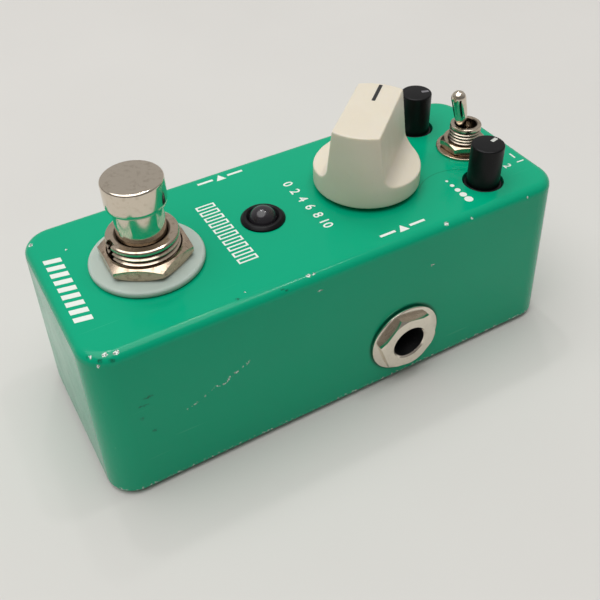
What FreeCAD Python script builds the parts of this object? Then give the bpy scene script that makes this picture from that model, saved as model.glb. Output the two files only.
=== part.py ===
import FreeCAD, Part
import math
import os

# Compact guitar effects pedal: die-cast box, footswitch, lamp, three controls,
# a toggle switch, two 6.35 mm jacks and a DC inlet. Millimetres, +Z up.
# The origin is on the floor under the middle of the box. -Y is the footswitch
# end, +Y the DC inlet end, +X the input side and -X the output side.

# ---- box -------------------------------------------------------------------
shell_length = 93.5          # along Y, at the bottom rim
shell_width = 38.5           # along X, at the bottom rim
shell_height = 31.5          # bottom rim to top panel
shell_lean = 1.0             # how far each wall leans in over the height
wall = 1.9                   # side wall thickness
panel_thickness = 1.9        # top panel thickness
corner_radius = 5.3          # upright corners
top_edge_radius = 1.8        # rounding between walls and top panel
boss_radius = 3.6            # screw pillars in the corners
boss_inset = 5.3             # pillar axis from the outer faces
rim_width = 1.0              # metal left around the base plate
plate_thickness = 1.6
plate_gap = 0.15             # base plate to its recess, all round
pad_thickness = 1.2          # rubber pad under the base plate
pad_inset = 1.3              # pad edge in from the bottom rim

screw_radius = 1.5
screw_length = 8.0
screw_head_radius = 2.8
screw_head_rim = 0.2         # straight edge of the countersunk head
screw_access_radius = 3.4    # holes in the rubber pad over the screw heads
cross_slot_width = 0.7
cross_slot_depth = 0.9

# ---- clearances ------------------------------------------------------------
running_gap = 0.06           # turning or sliding pair, on the radius
thread_gap = 0.05            # screwed pair, on the radius
panel_gap = 0.1              # bushing through a panel hole, on the radius
seat_gap = 0.05              # two still pieces that face each other
pin_gap = 0.1                # soldered pin in its board hole
nut_crown = 0.96             # turned face of a nut, as a share of its flats

# ---- footswitch ------------------------------------------------------------
switch_setback = 18.25       # axis from the front end of the box
bushing_radius = 6.0         # M12 thread
bushing_rise = 6.3           # top of the bushing above the panel
bushing_pitch = 1.0
bushing_thread_depth = 0.5
bushing_slot_width = 1.7
bushing_slot_depth = 0.8
bushing_slot_angle = 275.0   # keyway, degrees from +X
soft_washer_radius = 9.7
soft_washer_thickness = 1.2
soft_washer_edge = 0.4       # bevel of both outer edges
switch_nut_flats = 13.8
switch_nut_height = 2.4
switch_nut_angle = -1.0      # one corner's turn from +X
lock_washer_radius = 7.6
lock_washer_thickness = 0.6
lower_nut_height = 2.0
cap_radius = 5.0
cap_height = 4.8
cap_rise = 16.5              # top of the button above the panel
cap_edge = 0.45
neck_radius = 4.1
plunger_flange_radius = 4.9
plunger_flange_height = 1.2
plunger_post_radius = 1.5
plunger_travel = 3.0
frame_width = 17.4           # steel frame, square in plan
frame_thickness = 0.8
frame_leg = 9.0
switch_body_width = 15.6
switch_body_height = 12.0
spring_radius = 3.6          # to the middle of the wire
spring_wire_radius = 0.35
spring_turns = 5
spring_seat = 3.0            # floor of the switch body under the spring
lug_pitch = 4.8
lug_width = 2.2
lug_thickness = 0.8
lug_length = 4.2
switch_board_width = 17.0
switch_board_thickness = 1.2
ribbon_width = 7.6
ribbon_thickness = 0.9
ribbon_bend_radius = 1.9
ribbon_drop = 8.5            # how far the loop hangs under the main board

# ---- lamp ------------------------------------------------------------------
lamp_setback = 39.9          # axis from the front end of the box
bezel_radius = 3.98
bezel_rise = 0.75
bezel_sleeve_radius = 3.2
bezel_sleeve_depth = 3.0     # below the inside of the panel
bezel_wall_edge = 0.5        # bevel of the bezel's outer edge
lamp_ring_wall = 1.3
lamp_ring_height = 2.0
lamp_radius = 2.5
lamp_rise = 2.4              # top of the dome above the panel
lamp_foot_radius = 2.9
lamp_foot_height = 1.0
lead_size = 0.5
lead_pitch = 2.54

# ---- drive control ---------------------------------------------------------
drive_setback = 32.1         # axis from the back end of the box
drive_angle = 42.5           # where the pointer stands, from +Y towards -X
knob_gap = 0.8               # knob over the panel
knob_base_radius = 9.75
knob_top_radius = 9.55
knob_height = 14.1
knob_bar_width = 8.3         # across the flat top
knob_bar_spread = 1.0        # each flank leans out by this much to its foot
knob_flank_depth = 8.2       # top of the knob to the foot of a flank
knob_scoop_radius = 3.0      # hollow between flank and shoulder
knob_rim_height = 3.1        # bottom of the knob to the edge of the shoulder
knob_edge = 0.45             # rounding of the top edges
knob_recess_radius = 6.6
knob_recess_depth = 3.6
pointer_width = 0.85
pointer_start = 3.2          # from the axis
pointer_depth = 0.5
pot_size_x = 9.5
pot_size_y = 11.0
pot_height = 7.0
pot_cover = 1.5              # thickness over the rotor
pot_floor = 0.8
pot_rotor_radius = 3.8
pot_rotor_height = 2.0
pot_bushing_radius = 3.5     # M7
pot_bushing_rise = 3.4       # above the panel
pot_shaft_radius = 3.0
pot_shaft_rise = 10.4        # above the panel
pot_washer_radius = 5.6
pot_washer_thickness = 0.5
pot_nut_flats = 10.0
pot_nut_height = 2.0

# ---- tone and volume controls ----------------------------------------------
trim_setback = 13.65         # axes from the back end of the box
trim_wall_clearance = 1.0    # control body to the side wall
trim_knob_radius = 3.0
trim_knob_rise = 7.8         # above the panel
trim_knob_drop = 1.3         # foot of the knob below the panel's top
trim_knob_edge = 0.25
trim_foot_radius = 3.6
trim_foot_height = 0.9
trim_hole_gap = 0.2          # foot of the knob to the panel hole
trim_shaft_radius = 1.5
trim_shaft_rise = 5.0
trim_pot_size = 9.0
trim_pot_height = 6.5
trim_rotor_radius = 2.9
tone_angle = 15.0            # pointer from +Y towards -X
volume_angle = -20.0
trim_pointer_width = 0.7
trim_pointer_length = 1.4
trim_pointer_inset = 0.55    # its outer end from the knob's side
trim_pointer_depth = 0.3

# ---- toggle switch ---------------------------------------------------------
toggle_setback = 9.75        # axis from the back end of the box
toggle_bushing_radius = 2.95
toggle_bushing_bore = 2.05
toggle_bushing_rise = 5.3
toggle_pitch = 0.635
toggle_thread_depth = 0.34
toggle_washer_radius = 5.2
toggle_washer_thickness = 0.45
toggle_nut_flats = 7.9
toggle_nut_height = 1.7
toggle_nut_angle = 0.0       # one corner's turn from +X
toggle_inner_washer = 0.5
toggle_body_length = 12.7    # along Y
toggle_body_width = 6.8
toggle_body_height = 8.8
toggle_pivot_rise = 1.4      # lever pivot above the panel
toggle_tilt = 14.3           # lever from upright, each way
lever_length = 10.2          # pivot to the middle of the tip ball
lever_tip_radius = 1.4
lever_body_radius = 1.3
lever_neck_radius = 0.86
lever_ball_radius = 1.98
lever_tail_radius = 0.6
lever_tail_length = 7.4
toggle_cavity_depth = 4.6
toggle_pin_pitch = 4.7
toggle_pin_size = 0.9

# ---- 6.35 mm jacks ---------------------------------------------------------
jack_front_clearance = 5.0   # output jack behind the switch board, room for the ribbon
jack_spacing = 7.0           # between the two jack bodies
jack_height = 9.0            # axis above the bottom rim
plug_bore_radius = 3.3
ferrule_flange_radius = 7.2
ferrule_flange_thickness = 0.6
ferrule_flats = 11.0
ferrule_hex_height = 1.45
ferrule_sleeve_radius = 4.4
ferrule_sleeve_length = 6.0
ferrule_angle = 18.4         # one flat leans this much from level
ferrule_crown = 1.03         # turned face of the hexagon, as a share of its flats
jack_body_length = 27.0
jack_body_width = 13.0
jack_body_height = 13.2
jack_bore_gap = 0.2          # plug bore in the body beyond the ferrule's bore
contact_width = 3.4
contact_thickness = 0.4
contact_window = 4.2
contact_run = 7.0            # length of the window over a contact
contact_lead = 1.0           # window's start outside the contact's stem
contact_first = 10.0         # jack's outer face to the sleeve contact
contact_second = 23.0        # jack's outer face to the tip contact
contact_stem_rise = 1.6      # foot of the stem over the point that touches the plug
contact_slope = 2.4          # length of the strip's part that leans to the plug
contact_lip = 2.2
contact_lip_rise = 1.2
contact_pin_depth = 1.1      # how far the contacts reach up into the board

# ---- DC inlet --------------------------------------------------------------
dc_body_width = 9.0
dc_body_height = 11.0
dc_body_length = 13.0
dc_axis_drop = 6.5           # axis below the main board
dc_nose_radius = 4.4
dc_socket_radius = 3.15
dc_socket_depth = 10.0
dc_pin_radius = 1.0
dc_pin_root_radius = 1.4     # where it is held in the moulding
dc_pin_setback = 0.8         # pin end inside the nose face

# ---- main board ------------------------------------------------------------
board_thickness = 1.6
board_gap = 0.1              # board over the jack bodies
board_clearance = 0.5        # board edge to walls and pillars
board_switch_gap = 1.4       # board edge behind the footswitch frame
pin_depth = 1.3              # how far pins reach down into the board
pot_pin_inset = 1.0          # pins from the front edge of a control's body

chip_width = 6.4
chip_length = 9.3
chip_height = 3.2
chip_standoff = 0.5          # body over the board
chip_inset = 8.6             # from the board's centre line
chip_leg_width = 0.5
chip_leg_thickness = 0.4
chip_leg_height = 2.2
can_radius = 2.5
can_height = 7.0
can_edge = 0.4
can_inset = 11.5
film_length = 7.2
film_width = 2.5
film_height = 6.5
film_inset = 10.5
resistor_length = 2.0
resistor_width = 1.25
resistor_height = 0.5
resistor_pitch = 2.2
resistor_count = 6           # in each of the two rows
resistor_inset = 3.3

# ---- levels and places -----------------------------------------------------
UP = FreeCAD.Vector(0, 0, 1)
ALONG_X = FreeCAD.Vector(1, 0, 0)
ALONG_Y = FreeCAD.Vector(0, 1, 0)

rim_z = pad_thickness
plate_top_z = rim_z + plate_thickness
panel_z = rim_z + shell_height
ceiling_z = panel_z - panel_thickness
lean_rate = shell_lean / shell_height
ceiling_x = shell_width / 2 - lean_rate * (ceiling_z - rim_z) - wall

switch_y = -shell_length / 2 + switch_setback
lamp_y = -shell_length / 2 + lamp_setback
drive_y = shell_length / 2 - drive_setback
trim_y = shell_length / 2 - trim_setback
trim_x = ceiling_x - trim_wall_clearance - trim_pot_size / 2
toggle_y = shell_length / 2 - toggle_setback
output_y = switch_y + switch_board_width / 2 + jack_front_clearance + jack_body_width / 2
input_y = output_y + jack_body_width + jack_spacing
jack_z = rim_z + jack_height
boss_x = shell_width / 2 - boss_inset
boss_y = shell_length / 2 - boss_inset

board_bottom_z = jack_z + jack_body_height / 2 + board_gap
board_top_z = board_bottom_z + board_thickness
pin_end_z = board_top_z - pin_depth

# footswitch stack, from the panel down
lower_nut_z = ceiling_z - lock_washer_thickness - lower_nut_height
frame_top_z = lower_nut_z
switch_body_top_z = frame_top_z - frame_thickness
switch_body_bottom_z = switch_body_top_z - switch_body_height
lug_end_z = switch_body_bottom_z - lug_length
switch_board_z = lug_end_z + 1.0
bushing_bore_radius = neck_radius + running_gap
plunger_cavity_radius = plunger_flange_radius + 0.3
spring_floor_z = switch_body_bottom_z + spring_seat


def point(x, y, z):
    return FreeCAD.Vector(x, y, z)


def wall_x(z):
    """Outer face of the side walls at a height."""
    return shell_width / 2 - lean_rate * (z - rim_z)


def wall_y(z):
    """Outer face of the end walls at a height."""
    return shell_length / 2 - lean_rate * (z - rim_z)


def block(size_x, size_y, size_z, x, y, base_z):
    """Box centred on x, y and standing on base_z."""
    return Part.makeBox(size_x, size_y, size_z, point(x - size_x / 2, y - size_y / 2, base_z))


def rod(radius, length, start, axis=UP):
    return Part.makeCylinder(radius, length, start, axis)


def ring(outer, inner, length, start, axis=UP):
    return rod(outer, length, start, axis).cut(rod(inner, length, start, axis))


def turned(profile, x, y, base_z):
    """Solid of revolution about an upright axis from (radius, height) points."""
    points = [point(radius, 0, height) for radius, height in profile]
    face = Part.Face(Part.makePolygon(points + points[:1]))
    solid = face.revolve(point(0, 0, 0), UP, 360)
    solid.translate(point(x, y, base_z))
    return solid


def upright_edges(shape, height):
    """Edges that climb more than half of a height."""
    return [edge for edge in shape.Edges if edge.BoundBox.ZLength > height / 2]


def edges_at(shape, z, tolerance=0.001):
    """Edges that lie in one level plane."""
    return [
        edge for edge in shape.Edges
        if abs(edge.BoundBox.ZMin - z) < tolerance and abs(edge.BoundBox.ZMax - z) < tolerance
    ]


def rounded_block(size_x, size_y, height, radius, base_z):
    solid = block(size_x, size_y, height, 0, 0, base_z)
    return solid.makeFillet(radius, upright_edges(solid, height))


def leaning_block(size_x, size_y, height, radius, base_z):
    """Block whose four walls lean in at the box's draft, with rounded upright corners."""
    solid = block(size_x, size_y, height, 0, 0, base_z)
    reach = size_x + size_y + height
    for turn, half in ((0, size_x / 2), (90, size_y / 2), (180, size_x / 2), (270, size_y / 2)):
        cutter = block(reach, reach, reach, reach / 2, 0, -reach / 2)
        cutter.rotate(point(0, 0, 0), ALONG_Y, -math.degrees(math.atan(lean_rate)))
        cutter.translate(point(half, 0, base_z))
        cutter.rotate(point(0, 0, 0), UP, turn)
        solid = solid.cut(cutter)
    return solid.makeFillet(radius, upright_edges(solid, height))


def hex_nut(flats, height, bore, x, y, base_z, angle):
    """Hexagon nut with the corners of both faces turned off at 30 degrees."""
    blank = turned(hex_blank(flats, height, nut_crown, True), x, y, base_z)
    solid = hex_prism(flats, height, x, y, base_z, angle).common(blank)
    return solid.cut(rod(bore, height, point(x, y, base_z)))


def hex_blank(flats, height, crown_share, both_faces):
    """Outline of the turned blank that a hexagon is milled from."""
    corner = flats / math.sqrt(3)
    crown = crown_share * flats / 2
    drop = (corner - crown) * math.tan(math.radians(30))
    foot = [(0, 0), (crown, 0), (corner, drop)] if both_faces else [(0, 0), (corner, 0)]
    return foot + [(corner, height - drop), (crown, height), (0, height)]


def hex_prism(flats, height, x, y, base_z, angle):
    corner = flats / math.sqrt(3)
    corners = []
    for i in range(7):
        turn = math.radians(angle + 60 * i)
        corners.append(point(x + corner * math.cos(turn), y + corner * math.sin(turn), base_z))
    return Part.Face(Part.makePolygon(corners)).extrude(point(0, 0, height))


def thread_profile(radius, start, end, pitch, depth):
    """Outline points of round grooves between two heights, from the lower one up."""
    points = []
    count = int((end - start) / pitch)
    for i in range(count):
        z = start + i * pitch
        points.append((radius, z))
        points.append((radius - depth, z + pitch / 2))
    points.append((radius, start + count * pitch))
    return points


def bent_strip(route, thickness, width, y):
    """Strip of sheet metal along a route of (x, z) points, centred on y."""
    pieces = []
    for (x0, z0), (x1, z1) in zip(route, route[1:]):
        run = math.hypot(x1 - x0, z1 - z0)
        piece = block(run, width, thickness, run / 2, 0, -thickness / 2)
        piece.rotate(point(0, 0, 0), ALONG_Y, -math.degrees(math.atan2(z1 - z0, x1 - x0)))
        piece.translate(point(x0, y, z0))
        pieces.append(piece)
    for x, z in route[1:-1]:
        pieces.append(rod(thickness / 2, width, point(x, y - width / 2, z), ALONG_Y))
    return pieces[0].fuse(pieces[1:]).removeSplitter()


def mirrored_x(shape):
    return shape.mirror(point(0, 0, 0), ALONG_X)


def boss_places():
    return [(sx * boss_x, sy * boss_y) for sx in (-1, 1) for sy in (-1, 1)]


# ---- box -------------------------------------------------------------------
def make_shell():
    outer = leaning_block(shell_width, shell_length, shell_height, corner_radius, rim_z)
    outer = outer.makeFillet(top_edge_radius, edges_at(outer, panel_z))
    cavity = leaning_block(shell_width - 2 * wall, shell_length - 2 * wall,
                           shell_height - panel_thickness, corner_radius - wall, rim_z)
    recess = rounded_block(shell_width - 2 * rim_width, shell_length - 2 * rim_width,
                           plate_thickness, corner_radius - rim_width, rim_z)
    bosses = [rod(boss_radius, ceiling_z - plate_top_z, point(x, y, plate_top_z))
              for x, y in boss_places()]
    shell = outer.cut(cavity.fuse(recess)).fuse([boss.common(outer) for boss in bosses])
    return shell.cut(shell_openings()).removeSplitter()


def shell_openings():
    """Every hole in the box, each from the piece that goes through it."""
    depth = 3 * panel_thickness
    start_z = panel_z - 2 * panel_thickness
    top_holes = [
        (bushing_radius + panel_gap, 0, switch_y),
        (bezel_sleeve_radius + panel_gap, 0, lamp_y),
        (pot_bushing_radius + panel_gap, 0, drive_y),
        (trim_foot_radius + trim_hole_gap, trim_x, trim_y),
        (trim_foot_radius + trim_hole_gap, -trim_x, trim_y),
        (toggle_bushing_radius + panel_gap, 0, toggle_y),
    ]
    cuts = [rod(radius, depth, point(x, y, start_z)) for radius, x, y in top_holes]
    face_x = wall_x(jack_z)
    for y, side in ((input_y, 1), (output_y, -1)):
        axis = ALONG_X * side
        cuts.append(rod(ferrule_sleeve_radius + panel_gap, 2 * wall,
                        point(side * (face_x - 1.5 * wall), y, jack_z), axis))
        cuts.append(rod(ferrule_flange_radius + panel_gap, wall, point(side * face_x, y, jack_z), axis))
    cuts.append(rod(dc_nose_radius + panel_gap, 3 * wall,
                    point(0, wall_y(dc_z()) - 2 * wall, dc_z()), ALONG_Y))
    screw_depth = screw_length - plate_thickness + 1.0
    for x, y in boss_places():
        cuts.append(rod(screw_radius + thread_gap, screw_depth, point(x, y, plate_top_z)))
    return cuts


def screw_blank(grow, length):
    """Countersunk screw pointing up from the origin, larger all round by grow."""
    head = screw_head_radius + grow
    shank = screw_radius + grow
    cone_top = screw_head_rim + head - shank
    profile = [(0, 0), (head, 0), (head, screw_head_rim), (shank, cone_top), (shank, length), (0, length)]
    return turned(profile, 0, 0, rim_z)


def make_base_plate():
    plate = rounded_block(shell_width - 2 * (rim_width + plate_gap),
                          shell_length - 2 * (rim_width + plate_gap),
                          plate_thickness, corner_radius - rim_width - plate_gap, rim_z)
    for x, y in boss_places():
        hole = screw_blank(thread_gap, screw_length)
        hole.translate(point(x, y, 0))
        plate = plate.cut(hole)
    return plate


def make_base_pad():
    pad = rounded_block(shell_width - 2 * pad_inset, shell_length - 2 * pad_inset,
                        pad_thickness, corner_radius - pad_inset, 0)
    holes = [rod(screw_access_radius, pad_thickness, point(x, y, 0)) for x, y in boss_places()]
    return pad.cut(holes)


def make_base_screws():
    screws = []
    for x, y in boss_places():
        screw = screw_blank(0, screw_length)
        slot = 2 * screw_radius
        for size_x, size_y in ((slot, cross_slot_width), (cross_slot_width, slot)):
            screw = screw.cut(block(size_x, size_y, cross_slot_depth, 0, 0, rim_z))
        screw.translate(point(x, y, 0))
        screws.append(screw)
    return Part.makeCompound(screws)


# ---- footswitch ------------------------------------------------------------
def make_footswitch_bushing():
    top = panel_z + bushing_rise
    bottom = switch_body_top_z
    thread_start = panel_z + soft_washer_thickness + switch_nut_height
    bevel = 0.35
    profile = [(bushing_bore_radius, 0), (bushing_radius, 0)]
    profile += thread_profile(bushing_radius, thread_start - bottom, top - bottom - bevel,
                              bushing_pitch, bushing_thread_depth)
    profile += [(bushing_radius - bevel, top - bottom), (bushing_bore_radius + bevel, top - bottom),
                (bushing_bore_radius, top - bottom - bevel)]
    bushing = turned(profile, 0, 0, bottom)
    slot = block(bushing_slot_depth, bushing_slot_width, top - ceiling_z + 3.0,
                 bushing_radius - bushing_slot_depth / 2, 0, ceiling_z - 3.0)
    slot.rotate(point(0, 0, 0), UP, bushing_slot_angle)
    bushing = bushing.cut(slot)
    bushing.translate(point(0, switch_y, 0))
    return bushing


def make_footswitch_washer():
    edge = soft_washer_edge
    bore = bushing_radius + thread_gap
    profile = [(bore, 0), (soft_washer_radius - edge, 0), (soft_washer_radius, edge),
               (soft_washer_radius, soft_washer_thickness - edge),
               (soft_washer_radius - edge, soft_washer_thickness), (bore, soft_washer_thickness)]
    return turned(profile, 0, switch_y, panel_z)


def make_footswitch_nut():
    return hex_nut(switch_nut_flats, switch_nut_height, bushing_radius + thread_gap,
                   0, switch_y, panel_z + soft_washer_thickness, switch_nut_angle)


def make_footswitch_lock_washer():
    """Internal washer with teeth around its edge."""
    base_z = ceiling_z - lock_washer_thickness
    washer = ring(lock_washer_radius, bushing_radius + thread_gap, lock_washer_thickness,
                  point(0, switch_y, base_z))
    notches = []
    for i in range(12):
        turn = math.radians(30 * i)
        reach = lock_washer_radius
        notches.append(rod(0.6, lock_washer_thickness,
                           point(reach * math.cos(turn), switch_y + reach * math.sin(turn), base_z)))
    return washer.cut(notches)


def make_footswitch_lower_nut():
    return hex_nut(switch_nut_flats, lower_nut_height, bushing_radius + thread_gap,
                   0, switch_y, lower_nut_z, switch_nut_angle)


def make_footswitch_frame():
    """Steel strap over the switch body, with two legs folded down its sides."""
    top = block(frame_width, switch_body_width, frame_thickness, 0, switch_y, switch_body_top_z)
    top = top.cut(rod(bushing_radius + thread_gap, frame_thickness, point(0, switch_y, switch_body_top_z)))
    legs = [block(frame_thickness, switch_body_width, frame_leg,
                  side * (frame_width - frame_thickness) / 2, switch_y, switch_body_top_z - frame_leg)
            for side in (-1, 1)]
    return top.fuse(legs).removeSplitter()


def make_footswitch_body():
    width = frame_width - 2 * frame_thickness - 2 * seat_gap
    body = block(width, switch_body_width, switch_body_height, 0, switch_y, switch_body_bottom_z)
    body = body.makeFillet(0.5, upright_edges(body, switch_body_height))
    well = rod(plunger_cavity_radius, switch_body_top_z - spring_floor_z, point(0, switch_y, spring_floor_z))
    return body.cut(well)


def make_footswitch_plunger():
    top = panel_z + cap_rise
    cap_bottom = top - cap_height
    flange_top = switch_body_top_z - seat_gap
    flange_bottom = flange_top - plunger_flange_height
    post_bottom = spring_floor_z + plunger_travel + 0.5
    under_edge = 0.7
    profile = [
        (0, post_bottom), (plunger_post_radius, post_bottom), (plunger_post_radius, flange_bottom),
        (plunger_flange_radius, flange_bottom), (plunger_flange_radius, flange_top),
        (neck_radius, flange_top), (neck_radius, cap_bottom), (cap_radius - under_edge, cap_bottom),
        (cap_radius - 0.2, cap_bottom + 0.25), (cap_radius, cap_bottom + under_edge),
        (cap_radius, top - cap_edge), (cap_radius - cap_edge, top), (0, top),
    ]
    return turned(profile, 0, switch_y, 0)


def make_footswitch_spring():
    """Round wire coil between the well's floor and the plunger's flange."""
    flange_bottom = switch_body_top_z - seat_gap - plunger_flange_height
    height = flange_bottom - spring_floor_z - 2 * (spring_wire_radius + seat_gap)
    helix = Part.makeHelix(height / spring_turns, height, spring_radius)
    section = Part.Wire(Part.makeCircle(spring_wire_radius, point(spring_radius, 0, 0), ALONG_Y))
    spring = Part.Wire(helix).makePipeShell([section], True, True)
    spring.translate(point(0, switch_y, spring_floor_z + spring_wire_radius + seat_gap))
    return spring


def lug_places():
    steps = (-lug_pitch, 0, lug_pitch)
    return [(dx, switch_y + dy) for dx in steps for dy in steps]


def make_footswitch_lugs():
    return Part.makeCompound([
        block(lug_width, lug_thickness, lug_length, x, y, lug_end_z) for x, y in lug_places()
    ])


def make_switch_board():
    board = block(switch_board_width, switch_board_width, switch_board_thickness, 0, switch_y, switch_board_z)
    board = board.makeFillet(1.0, upright_edges(board, switch_board_thickness))
    holes = [block(lug_width + 2 * pin_gap, lug_thickness + 2 * pin_gap, switch_board_thickness,
                   x, y, switch_board_z) for x, y in lug_places()]
    return board.cut(holes)


def ribbon_leg_ys():
    """The loop's two legs: under the main board's front edge and under the switch board's back edge."""
    back_leg = board_front_y() + 1.2
    return back_leg, back_leg - 2 * ribbon_bend_radius


def make_ribbon_cable():
    back_y, front_y = ribbon_leg_ys()
    bend_z = board_bottom_z - ribbon_drop
    half = ribbon_thickness / 2
    inner = ribbon_bend_radius - half
    outer = ribbon_bend_radius + half
    middle_y = (back_y + front_y) / 2
    left = -ribbon_width / 2
    bend = ring(outer, inner, ribbon_width, point(left, middle_y, bend_z), ALONG_X)
    lower_half = block(ribbon_width, 2 * outer, outer, 0, middle_y, bend_z - outer)
    legs = [
        block(ribbon_width, ribbon_thickness, board_bottom_z - bend_z, 0, back_y, bend_z),
        block(ribbon_width, ribbon_thickness, switch_board_z - bend_z, 0, front_y, bend_z),
    ]
    return bend.common(lower_half).fuse(legs).removeSplitter()


# ---- lamp ------------------------------------------------------------------
def lamp_foot_top():
    return ceiling_z - bezel_sleeve_depth


def make_lamp_bezel():
    sleeve_bottom = lamp_foot_top()
    bore = lamp_radius + seat_gap
    profile = [
        (bore, sleeve_bottom), (bezel_sleeve_radius, sleeve_bottom), (bezel_sleeve_radius, panel_z),
        (bezel_radius, panel_z), (bezel_radius, panel_z + 0.2),
        (bezel_radius - bezel_wall_edge, panel_z + bezel_rise), (bore + 0.35, panel_z + bezel_rise),
        (bore, panel_z + 0.3),
    ]
    return turned(profile, 0, lamp_y, 0)


def make_lamp_ring():
    """Ring pushed over the bezel's sleeve from inside."""
    return ring(bezel_sleeve_radius + lamp_ring_wall, bezel_sleeve_radius + seat_gap, lamp_ring_height,
                point(0, lamp_y, ceiling_z - lamp_ring_height - seat_gap))


def make_lamp():
    foot_bottom = lamp_foot_top() - lamp_foot_height
    barrel = rod(lamp_radius, panel_z + lamp_rise - lamp_radius - foot_bottom, point(0, lamp_y, foot_bottom))
    dome = Part.makeSphere(lamp_radius, point(0, lamp_y, panel_z + lamp_rise - lamp_radius))
    foot = rod(lamp_foot_radius, lamp_foot_height, point(0, lamp_y, foot_bottom))
    return barrel.fuse([dome, foot]).removeSplitter()


def lead_places():
    return [(side * lead_pitch / 2, lamp_y) for side in (-1, 1)]


def make_lamp_leads():
    top = lamp_foot_top() - lamp_foot_height
    return Part.makeCompound([
        block(lead_size, lead_size, top - pin_end_z, x, y, pin_end_z) for x, y in lead_places()
    ])


# ---- drive control ---------------------------------------------------------
def knob_flank_cutter():
    """Material taken off one flank: upright and leaning, then hollow, then out over the shoulder."""
    top = panel_z + knob_gap + knob_height
    foot_z = top - knob_flank_depth
    foot_x = knob_bar_width / 2 + knob_bar_spread
    shoulder_z = panel_z + knob_gap + knob_rim_height
    reach = knob_base_radius + 1.0
    above = 2.0
    slope = math.atan2(knob_bar_spread, knob_flank_depth)
    lift_x = knob_bar_width / 2 - above * math.tan(slope)
    # hollow: an arc that leaves the flank smoothly and meets the shoulder's slope
    centre_x = foot_x + knob_scoop_radius * math.cos(slope)
    centre_z = foot_z + knob_scoop_radius * math.sin(slope)
    leave = math.radians(248)
    arc_end = point(centre_x + knob_scoop_radius * math.cos(leave), 0,
                    centre_z + knob_scoop_radius * math.sin(leave))
    arc_turn = (math.pi + slope + leave) / 2
    arc_middle = point(centre_x + knob_scoop_radius * math.cos(arc_turn), 0,
                       centre_z + knob_scoop_radius * math.sin(arc_turn))
    flank_top = point(lift_x, 0, top + above)
    flank_foot = point(foot_x, 0, foot_z)
    shoulder_edge = point(reach, 0, shoulder_z)
    outer_top = point(reach, 0, top + above)
    edges = [
        Part.makeLine(flank_top, flank_foot),
        Part.Arc(flank_foot, arc_middle, arc_end).toShape(),
        Part.makeLine(arc_end, shoulder_edge),
        Part.makeLine(shoulder_edge, outer_top),
        Part.makeLine(outer_top, flank_top),
    ]
    cutter = Part.Face(Part.Wire(edges)).extrude(point(0, 2 * reach, 0))
    cutter.translate(point(0, -reach, 0))
    return cutter


def make_drive_knob():
    """Bar knob: turned body, both flanks scooped away, pointer groove and hollow underside."""
    bottom = panel_z + knob_gap
    top = bottom + knob_height
    body = turned([(0, bottom), (knob_base_radius - 0.3, bottom), (knob_base_radius, bottom + 0.3),
                   (knob_base_radius, bottom + knob_rim_height), (knob_top_radius, top), (0, top)], 0, 0, 0)
    cutter = knob_flank_cutter()
    body = body.cut([cutter, mirrored_x(cutter)])
    body = body.makeFillet(knob_edge, edges_at(body, top))
    recess = rod(knob_recess_radius, knob_recess_depth, point(0, 0, bottom))
    socket = rod(pot_shaft_radius + seat_gap, panel_z + pot_shaft_rise - bottom + 0.3, point(0, 0, bottom))
    body = body.cut([recess, socket, pointer_groove(seat_gap)])
    return placed_on_drive(body)


def pointer_groove(grow):
    """Black bar along the flat top, from near the axis to the pointer end."""
    top = panel_z + knob_gap + knob_height
    length = knob_top_radius - pointer_start
    return block(pointer_width + 2 * grow, length + 2 * grow, pointer_depth + grow,
                 0, pointer_start + length / 2, top - pointer_depth - grow)


def placed_on_drive(shape):
    shape.rotate(point(0, 0, 0), UP, drive_angle)
    shape.translate(point(0, drive_y, 0))
    return shape


def make_drive_pointer():
    bottom = panel_z + knob_gap
    limit = rod(knob_top_radius - 0.1, knob_height, point(0, 0, bottom))
    return placed_on_drive(pointer_groove(0).common(limit))


def pot_top():
    return ceiling_z - seat_gap


def make_drive_shaft():
    bottom = pot_top() - pot_height + pot_floor + seat_gap
    profile = [
        (0, bottom), (pot_rotor_radius, bottom), (pot_rotor_radius, bottom + pot_rotor_height),
        (pot_shaft_radius, bottom + pot_rotor_height), (pot_shaft_radius, panel_z + pot_shaft_rise),
        (0, panel_z + pot_shaft_rise),
    ]
    return turned(profile, 0, drive_y, 0)


def make_drive_pot():
    bottom = pot_top() - pot_height
    body = block(pot_size_x, pot_size_y, pot_height, 0, drive_y, bottom)
    well = rod(pot_rotor_radius + running_gap, pot_height - pot_floor - pot_cover,
               point(0, drive_y, bottom + pot_floor))
    mouth = rod(pot_bushing_radius + thread_gap, pot_cover, point(0, drive_y, pot_top() - pot_cover))
    return body.cut([well, mouth])


def make_drive_bushing():
    bottom = pot_top() - pot_cover
    return ring(pot_bushing_radius, pot_shaft_radius + running_gap,
                panel_z + pot_bushing_rise - bottom, point(0, drive_y, bottom))


def make_drive_washer():
    return ring(pot_washer_radius, pot_bushing_radius + thread_gap, pot_washer_thickness,
                point(0, drive_y, panel_z))


def make_drive_nut():
    return hex_nut(pot_nut_flats, pot_nut_height, pot_bushing_radius + thread_gap,
                   0, drive_y, panel_z + pot_washer_thickness, 0)


# ---- tone and volume controls ----------------------------------------------
def trim_pointer_bar(grow, angle):
    top = panel_z + trim_knob_rise
    reach = trim_knob_radius - trim_pointer_inset
    bar = block(trim_pointer_width + 2 * grow, trim_pointer_length + 2 * grow, trim_pointer_depth + grow,
                0, reach - trim_pointer_length / 2, top - trim_pointer_depth - grow)
    bar.rotate(point(0, 0, 0), UP, angle)
    return bar


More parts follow.
